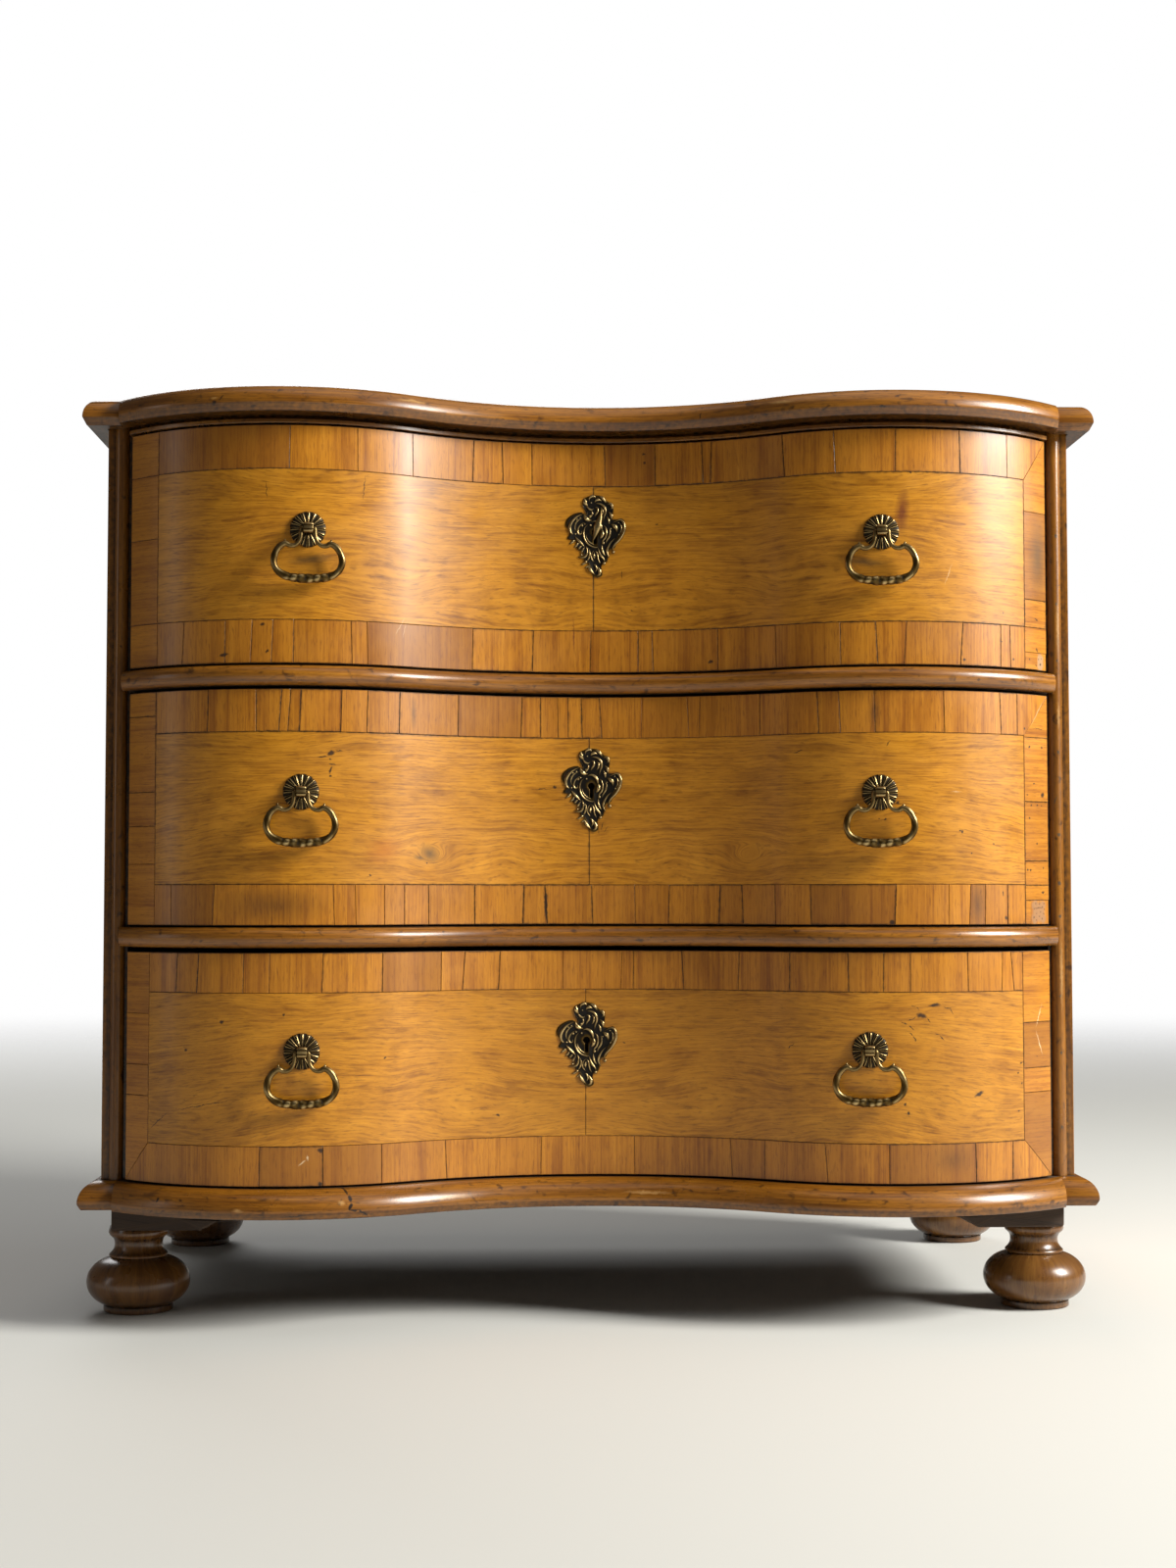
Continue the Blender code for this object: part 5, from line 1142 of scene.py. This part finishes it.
# Marks on the fronts: colour, strength, softness, then ellipses as (along, height, half length,
# half width, turn), in millimetres and degrees.
MARKS = {
    "upper": (
        # Cracks, dents and worm holes
        ("#2a170d", 0.9, 0.5, (
            (-239.2, 818, 14, 0.5, 84), (-334.3, 813, 10, 0.4, 92), (-337.3, 681, 3, 1.6, 10),
            (-332.3, 655, 2.4, 1.4, 40), (-375.4, 652, 6, 1.8, 12), (54.7, 866, 2.2, 1.4, 0),
            (55.2, 857, 1.6, 1.2, 0), (32.1, 743, 6, 0.5, 86), (42.1, 707, 1.5, 1.0, 0),
            (68.2, 794, 1.6, 1.0, 0), (123.3, 653, 3.0, 1.8, 20), (328.5, 832, 1.6, 1.2, 0),
            (463, 654, 1.3, 1.2, 0), (472.1, 648, 1.2, 1.1, 0), (440.5, 652.5, 1.8, 1.7, 0),
            (381.5, 650, 2.0, 1.6, 0), (425, 669, 1.2, 1.2, 0), (427, 698, 1.3, 1.1, 0),
            (473.5, 694.5, 3.0, 1.4, -20), (474, 664, 3.0, 1.0, -55))),
        # Red streaks
        ("#5a1c16", 0.75, 0.8, ((-16.9, 681, 21, 1.1, 91), (319.5, 794, 26, 8, 84))),
        # Pale scratches
        ("#d9b98a", 0.55, 0.8, (
            (-201.2, 683, 12, 0.7, 60), (-196.2, 680, 9, 0.5, 75), (365.6, 733, 13, 0.6, 70))),
        # Bare wood in the lowest right corner
        ("#a58665", 0.8, 0.35, (
            (480.5, 651.5, 6, 8.5, 0), (480, 647, 5, 4, 0), (480.5, 656.5, 5.5, 4.5, 0))),
        # Worm holes in it
        ("#2c1a10", 0.95, 0.6, (
            (480.5, 650, 1.6, 1.8, 0), (477.5, 655, 0.9, 0.8, 0), (482, 656, 0.9, 0.7, 0))),
        # A leaf greyed by wear and grime, and two grey-brown strips near the bails
        ("#4c3c26", 0.7, 0.9, (
            (477.1, 757, 46, 17, 90), (-290.3, 745, 26, 5, 8), (280.4, 745, 26, 5, -6))),
    ),
    "middle": (
        # Ink-like stain on the left, cracks, dents and worm holes
        ("#24150c", 0.92, 0.5, (
            (-279, 553, 6, 1.0, 8), (-271, 556.5, 4.5, 2.6, 20), (-263, 559, 4, 0.8, 0),
            (-271, 551, 1.6, 1.0, 0), (-269, 545.5, 4.5, 0.8, 0), (-271, 540, 4.5, 1.6, 75),
            (-271, 534.5, 1.6, 1.2, 0), (-36, 528, 2.6, 2.0, 0), (378, 481, 2.2, 1.3, 60),
            (388, 460, 1.4, 1.2, 0), (413, 469, 1.5, 1.2, 0), (313, 509, 3.0, 1.6, 20),
            (307, 393, 3.0, 3.2, 0), (427, 397, 2.0, 2.6, 0), (424, 421, 1.1, 2.8, 0),
            (-50, 526, 14, 0.35, 2), (12.1, 489, 6, 0.5, 70), (16.1, 486, 5, 0.4, 50),
            (8.1, 484, 4, 0.4, 100), (216.4, 560, 6, 0.6, 20), (304.5, 567, 4, 0.5, 60),
            (481, 519, 3.4, 3.2, 0), (467.1, 530, 1.6, 1.2, 0), (471.1, 470, 1.3, 1.1, 0),
            (-231, 439, 1.5, 1.2, 0), (-170, 451, 1.4, 1.1, 20), (310.5, 410, 18, 0.6, 88),
            (-45, 410, 18, 2.2, 90), (457.5, 518.5, 1.2, 1.0, 0), (462.5, 508, 1.3, 1.0, 0),
            (472, 508.5, 1.2, 1.1, 0), (479, 508.5, 1.2, 1.0, 0), (460.5, 495.5, 1.4, 1.1, 0),
            (460.5, 566.5, 1.8, 1.5, 0), (480.5, 566.5, 1.6, 1.4, 0), (480, 422, 2.8, 1.7, 0),
            (474, 585, 11, 0.4, 0), (454, 584, 1.4, 1.6, 0), (456.5, 444, 1.5, 1.8, 0),
            (461, 444, 1.8, 1.4, 0), (481, 446, 1.6, 1.2, 0), (301, 493, 1.4, 1.0, 0),
            (295, 493, 1.0, 0.9, 0), (376, 481.5, 1.2, 0.9, 0))),
        # Pale scratches
        ("#dcbf92", 0.5, 0.8, ((372.6, 520, 7, 0.7, 0), (473, 600, 18, 0.9, 53))),
        # Bare wood in the lowest right corner
        ("#94704f", 0.8, 0.35, (
            (474, 402.5, 11.5, 11.5, 0), (467.5, 396, 6, 6, 0), (468, 409, 6, 5.5, 0),
            (481, 396, 5.5, 6, 0), (481, 409, 5, 5.5, 0))),
        # Worm holes and a crack in it
        ("#3c2416", 0.95, 0.7, (
            (466.5, 397, 1.3, 1.6, 0), (470, 394, 1.2, 0.9, 0), (474.5, 398, 1.4, 0.9, 30),
            (479, 395.5, 1.0, 1.2, 0), (482, 400, 1.1, 0.9, 0), (477, 402.5, 1.3, 0.8, -20),
            (470.5, 401.5, 1.0, 0.8, 0), (467, 405.5, 1.2, 0.9, 40), (473, 407, 1.0, 1.0, 0),
            (479.5, 407.5, 1.5, 0.8, 10), (483, 405, 0.8, 1.1, 0), (475, 411, 1.6, 0.7, 0),
            (469, 411, 0.9, 0.8, 0), (482, 411, 1.1, 0.8, 0), (473.5, 406.5, 10, 0.5, 0))),
        # Grey smear by the left knot
        ("#4c3c20", 0.8, 0.95, ((-167, 460, 14, 11, -20), (-178, 456, 9, 3, -10))),
        # Red glow beside it
        ("#a8530c", 0.4, 0.95, ((-217, 463, 24, 16, 20),)),
        # Dark leaves
        ("#3a2415", 0.55, 0.9, (
            (-325.3, 410, 60, 21, 0), (291.5, 598, 7, 22, 0), (393.7, 410, 9, 22, 0),
            (-185.2, 598, 4, 20, 0))),
    ),
    "lower": (
        # Cracks, dents, worm holes and the dark squiggles on the right
        ("#24150c", 0.92, 0.5, (
            (-374.5, 298, 3.2, 2.0, 20), (-412.5, 270, 2.0, 1.5, 0), (-314.3, 305, 2.0, 1.4, 0),
            (-278.7, 175, 3.6, 2.8, 0), (-279, 143, 2.6, 3.0, 0), (-94, 201, 2.6, 1.6, 0),
            (-215.2, 262, 2.0, 1.4, 0), (33.6, 272, 1.8, 1.2, 0), (207.4, 272, 5.0, 0.7, 45),
            (-443.8, 201, 17, 0.5, 37), (-392.5, 218, 38, 0.45, 11), (393.6, 226.3, 6.4, 2.2, 24),
            (444.5, 254, 2.2, 1.4, 0), (441, 245, 1.6, 1.3, 0), (445.5, 234.5, 1.2, 1.6, 0),
            (441, 207.5, 1.8, 1.2, 0), (468, 260, 1.2, 1.0, 0), (318, 217.5, 1.4, 1.8, 0),
            (321.5, 209, 1.6, 1.8, 0), (307.5, 253, 3.0, 0.7, -5), (347.5, 312.6, 6.8, 2.4, 3),
            (361, 310.3, 4.5, 0.6, -8), (365, 306.5, 4.2, 0.55, -55), (334.8, 302.6, 6.2, 2.9, -8),
            (325.8, 299.5, 4.8, 0.6, 30), (342.2, 298, 3.4, 0.7, -55), (318, 295.4, 3.8, 0.55, -12),
            (324.8, 291, 4.4, 0.6, -45), (324.6, 284.8, 2.8, 0.6, -40), (328.2, 280.3, 3.4, 0.7, -62),
            (350.3, 285, 2.6, 0.5, -15), (354.8, 281, 3.8, 0.55, -55), (327, 312, 2.8, 0.45, -5),
            (331.2, 309.3, 2.8, 0.5, -55))),
        # Brown spots
        ("#8a5a22", 0.5, 0.9, ((345.5, 268.5, 6, 3.4, 20), (372, 219, 5, 2, -30))),
        # Pale scratches
        ("#e0c79e", 0.75, 0.7, (
            (-296.3, 163, 5.5, 1.0, 40), (-291, 168, 3.5, 0.9, 100), (471.2, 299.8, 14.4, 0.7, 68),
            (471.5, 273, 14.8, 0.7, -68))),
        # Dark leaf
        ("#3a2415", 0.4, 0.9, ((365, 164, 26, 17, 0),)),
    ),
}
# Cracks, nicks and worn spots on the two long mouldings, in the same way
MOULDING_MARKS = {
    "top": (
        # Nicks and cracks
        ("#1d0f06", 0.92, 0.5, (
            (-379, 894, 2.6, 3.2, 0), (-372, 899, 4.0, 0.8, 50), (120, 897, 5, 0.6, 80),
            (-60, 892, 3, 1.2, 10), (300, 893, 4, 1.4, 0))),
        # Worn edge
        ("#c69a58", 0.5, 0.8, (
            (-379, 898.5, 4, 1.4, 10), (210, 903, 14, 2.0, 0), (-200, 903, 18, 2.0, 0))),
    ),
    "base": (
        # Crack through the left bulge and nicks
        ("#160b05", 0.96, 0.4, (
            (-256.8, 136.8, 3.8, 1.6, -58), (-253.8, 130.5, 4.2, 1.8, -80), (-254.6, 123.0, 4.2, 1.7, 70),
            (-251.5, 120.0, 4.2, 1.4, 8), (-243.0, 117.2, 7.0, 1.2, -33), (-300, 116, 16, 0.5, 4),
            (-430, 128, 3, 1.0, 60))),
        # Dark knocks
        ("#2a1508", 0.7, 0.8, (
            (-438, 132, 12, 3, 10), (-330, 131, 7, 1.6, 0), (-405, 124, 6, 1.4, 0), (150, 130, 9, 1.6, 0),
            (420, 122, 10, 2, 0))),
        # Worn edge
        ("#c99d62", 0.55, 0.8, (
            (-352, 121, 6, 2.2, 0), (-262, 127, 3.5, 3, 0), (-160, 126, 40, 2.4, 0),
            (60, 126, 30, 2.0, 0))),
    ),
    # Up the right post, whose place is its distance from the bead's middle
    "post": (
        # Nail heads
        ("#3c3a35", 0.85, 0.5, (
            (1, 563, 1.8, 2.0, 0), (1, 480, 2.0, 2.2, 0), (1, 431, 2.0, 2.6, 0), (1, 398, 1.8, 2.0, 0),
            (1, 782, 1.8, 2.0, 0), (1, 713, 1.8, 2.0, 0), (1, 655, 1.6, 1.8, 0), (1, 318, 1.8, 2.0, 0),
            (1, 262, 1.8, 2.0, 0), (1, 188, 1.8, 2.0, 0), (-2, 515, 0.7, 5, -20))),
        # Scrapes
        ("#c99d62", 0.45, 0.8, ((2, 690, 2, 30, 0), (2, 340, 2, 40, 0), (2, 600, 2, 16, 0))),
    ),
}
# Tones of each wood, from its darkest grain to its lightest
WALNUT = ("#522a05", "#875208", "#b07416", "#c1831e", "#d69a33")
PINE = ("#6f4c2a", "#8c6539", "#a67d4b", "#b98f5c")
ROUGH = ("#21160d", "#35251a", "#4a3624", "#67503a")


def make_finishes():
    """Every material, named for its finish."""
    made = {}
    for name, marks in MARKS.items():
        # Waxed figured walnut: broad honey bands on brown, fine dark grain, soft broken shine.
        made[f"{name}_veneer"] = wood(f"waxed_walnut_veneer_{name}", WALNUT, marks, dulled=0.5)
    made["veneer"] = wood("waxed_walnut_veneer", WALNUT, dulled=0.5)
    # Cross-grained walnut moulding: straighter and browner, with painted shade in its quirks.
    for name, marks in (*MOULDING_MARKS.items(), ("", ())):
        made[f"{name}_moulding".strip("_")] = wood(
            f"waxed_walnut_moulding_{name}".strip("_"), ("#3a1f05", "#6e410b", "#935e17", "#b67d27"), marks,
            stretch=(9, 120), figure=0.4, rough=0.32, pores=0.6, knocks=0.75)
    # Stained turned walnut: reddish dark brown, worn to a shine on the swell.
    made["turned"] = wood("stained_turned_walnut", ("#412610", "#5e3a17", "#775023", "#946a38"),
                          stretch=(14, 60), figure=0.6, rough=0.28, coat=0.3, knocks=0.4)
    # Unfinished rough pine: dusty dark brown, matt and fuzzy.
    made["rough"] = wood("rough_dusty_pine", ROUGH, stretch=(6, 70), figure=0.4, rough=0.75, coat=0.0,
                         bump=0.5)
    for axis in "xy":
        # Old drawer pine: planed, dull straw with brown growth lines, dry.
        made[f"pine_{axis}"] = wood(f"old_drawer_pine_{axis}", PINE, grain=axis, stretch=(3, 60),
                                    figure=0.2, rough=0.6, coat=0.0, bump=0.25)
        # Rough case pine: sawn, dark with dust, and dry.
        made[f"rough_{axis}"] = wood(f"rough_case_pine_{axis}", ROUGH, grain=axis, stretch=(3, 55),
                                     figure=0.3, rough=0.75, coat=0.0, bump=0.4)
    # Back boards: the same pine, only aged by air.
    made["back"] = wood("aged_back_pine", ("#47331e", "#62492c", "#7b5e3b", "#94734c"), grain="x",
                        stretch=(3, 45), figure=0.3, rough=0.7, coat=0.0, bump=0.3)
    # Core of the drawer fronts: pine, browned where hands and polish reach it.
    made["core"] = wood("browned_front_pine", ("#4f361e", "#68482a", "#7f5b37", "#947046"), grain="x",
                        stretch=(3, 60), figure=0.2, rough=0.6, coat=0.0, bump=0.25)
    # Walnut of the sides behind their leaves: the same tones in plain upright grain.
    made["side_z"] = wood("walnut_side_z", WALNUT, grain="z", stretch=(5, 90))
    # Lacquered brass gone brown: black in the hollows, rubbed yellow on the ridges.
    made["brass"] = metal("rubbed_brown_brass", "#140f08", "#5f4a26", "#cdb27c", 0.26)
    # Wrought iron: grey-brown with a skin of rust, dull.
    made["iron"] = metal("rusted_wrought_iron", "#2b211b", "#4a4039", "#6a5f55", 0.45, patina=False)
    return made


def paint_frame(finishes):
    """Materials for the nodes of the frame that stay: a name's ending, its finish and its slot."""
    rules = (
        ("_lock_case", "iron", "wrought_iron"), ("_lock_bolt", "iron", "wrought_iron"),
        ("drawer_left_side", "pine_y", "drawer_pine"), ("drawer_right_side", "pine_y", "drawer_pine"),
        ("drawer_back", "pine_x", "drawer_pine"), ("drawer_bottom", "pine_x", "drawer_pine"),
        ("drawer_front", "core", "figured_walnut"), ("_divider", "rough_x", "rough_pine"),
        ("bottom_board", "rough_x", "rough_pine"), ("back_panel", "back", "rough_pine"),
        ("_side", "side_z", "figured_walnut"))
    for name, obj in frame["nodes"].items():
        for ending, finish, slot in rules:
            if name.endswith(ending):
                obj.data.materials.clear()
                obj.data.materials.append(finishes[finish])
                break


def add_lamp(name, place, aim, size, power, colour):
    """A rectangle of light that faces its aim and that the camera doesn't see."""
    lamp = bpy.data.lights.new(name, "AREA")
    lamp.shape = "RECTANGLE"
    lamp.size, lamp.size_y = size
    lamp.energy = power
    lamp.color = linear(colour)[:3]
    obj = bpy.data.objects.new(name, lamp)
    obj.location = place
    obj.visible_camera = False
    obj.rotation_euler = (Vector(aim) - Vector(place)).to_track_quat("-Z", "Y").to_euler()
    bpy.context.scene.collection.objects.link(obj)


def add_studio():
    """Pale floor that fades into white, unseen from below, and a window of light on the right."""
    mesh = bpy.data.meshes.new("floor")
    mesh.from_pydata([(-9, -9, 0), (9, -9, 0), (9, 9, 0), (-9, 9, 0)], [], [(0, 1, 2, 3)])
    floor = bpy.data.objects.new("floor", mesh)
    material, tree, shader = new_material("pale_floor")
    finish_material(tree, shader, {}, {"Base Color": linear("#d4d4cf"), "Roughness": 0.7})
    away = node(tree, "VectorMath", {0: node(tree, "TexCoord")["Object"]}, operation="LENGTH")[1]
    away = node(tree, "MapRange", {0: away, 1: 1.8, 2: 6.0}, interpolation_type="SMOOTHSTEP")[0]
    away = node(tree, "Math", {0: away, 1: node(tree, "NewGeometry")["Backfacing"]}, operation="MAXIMUM")[0]
    faded = node(tree, "MixShader", {0: away, 1: shader.outputs[0], 2: node(tree, "BsdfTransparent")[0]})[0]
    tree.links.new(faded, tree.nodes["Material Output"].inputs["Surface"])
    mesh.materials.append(material)
    bpy.context.scene.collection.objects.link(floor)
    add_lamp("key", (3.0, -1.45, 2.2), (0, 0, 0.45), (1.3, 1.5), 272, "#fffdf8")
    add_lamp("strip", (-2.8, -1.3, 0.9), (0, 0, 0.5), (0.2, 1.5), 3, "#ffffff")
    add_lamp("back", (-1.0, 4.2, 2.8), (0, 0.6, 0.3), (3.4, 2.0), 75, "#ffffff")
    add_lamp("over", (0.4, -0.6, 3.0), (0, 0, 0.5), (2.4, 2.4), 12, "#ffffff")
    world = bpy.data.worlds.new("studio")
    world.use_nodes = True
    tree = world.node_tree
    back = tree.nodes["Background"]
    seen = node(tree, "LightPath")["Is Camera Ray"]
    colour = node(tree, "Mix", {0: seen, 6: "#4c4a47", 7: "#ffffff"}, data_type="RGBA")[2]
    tree.links.new(colour, back.inputs["Color"])
    back.inputs["Strength"].default_value = 1.0
    bpy.context.scene.world = world


def add_camera():
    """Where the photograph was taken from, a little left of the middle and at half height."""
    yaw, pitch, roll = math.radians(1.703), math.radians(2.885), math.radians(0.028)
    camera = bpy.data.cameras.new("camera")
    camera.sensor_width = 36.0
    camera.lens = 51.41
    camera.clip_start = 0.05
    obj = bpy.data.objects.new("camera", camera)
    obj.location = (-0.0694, -2.46965, 0.4177)
    obj.rotation_euler = (math.pi / 2 + pitch, roll, -yaw)
    bpy.context.scene.collection.objects.link(obj)
    bpy.context.scene.camera = obj
    bpy.context.scene.view_settings.view_transform = "Standard"


materials = make_finishes()
paint_frame(materials)
add_case(materials)
add_mouldings(materials)
add_feet(materials)
add_drawers(materials)
add_studio()
add_camera()
bpy.context.view_layer.update()
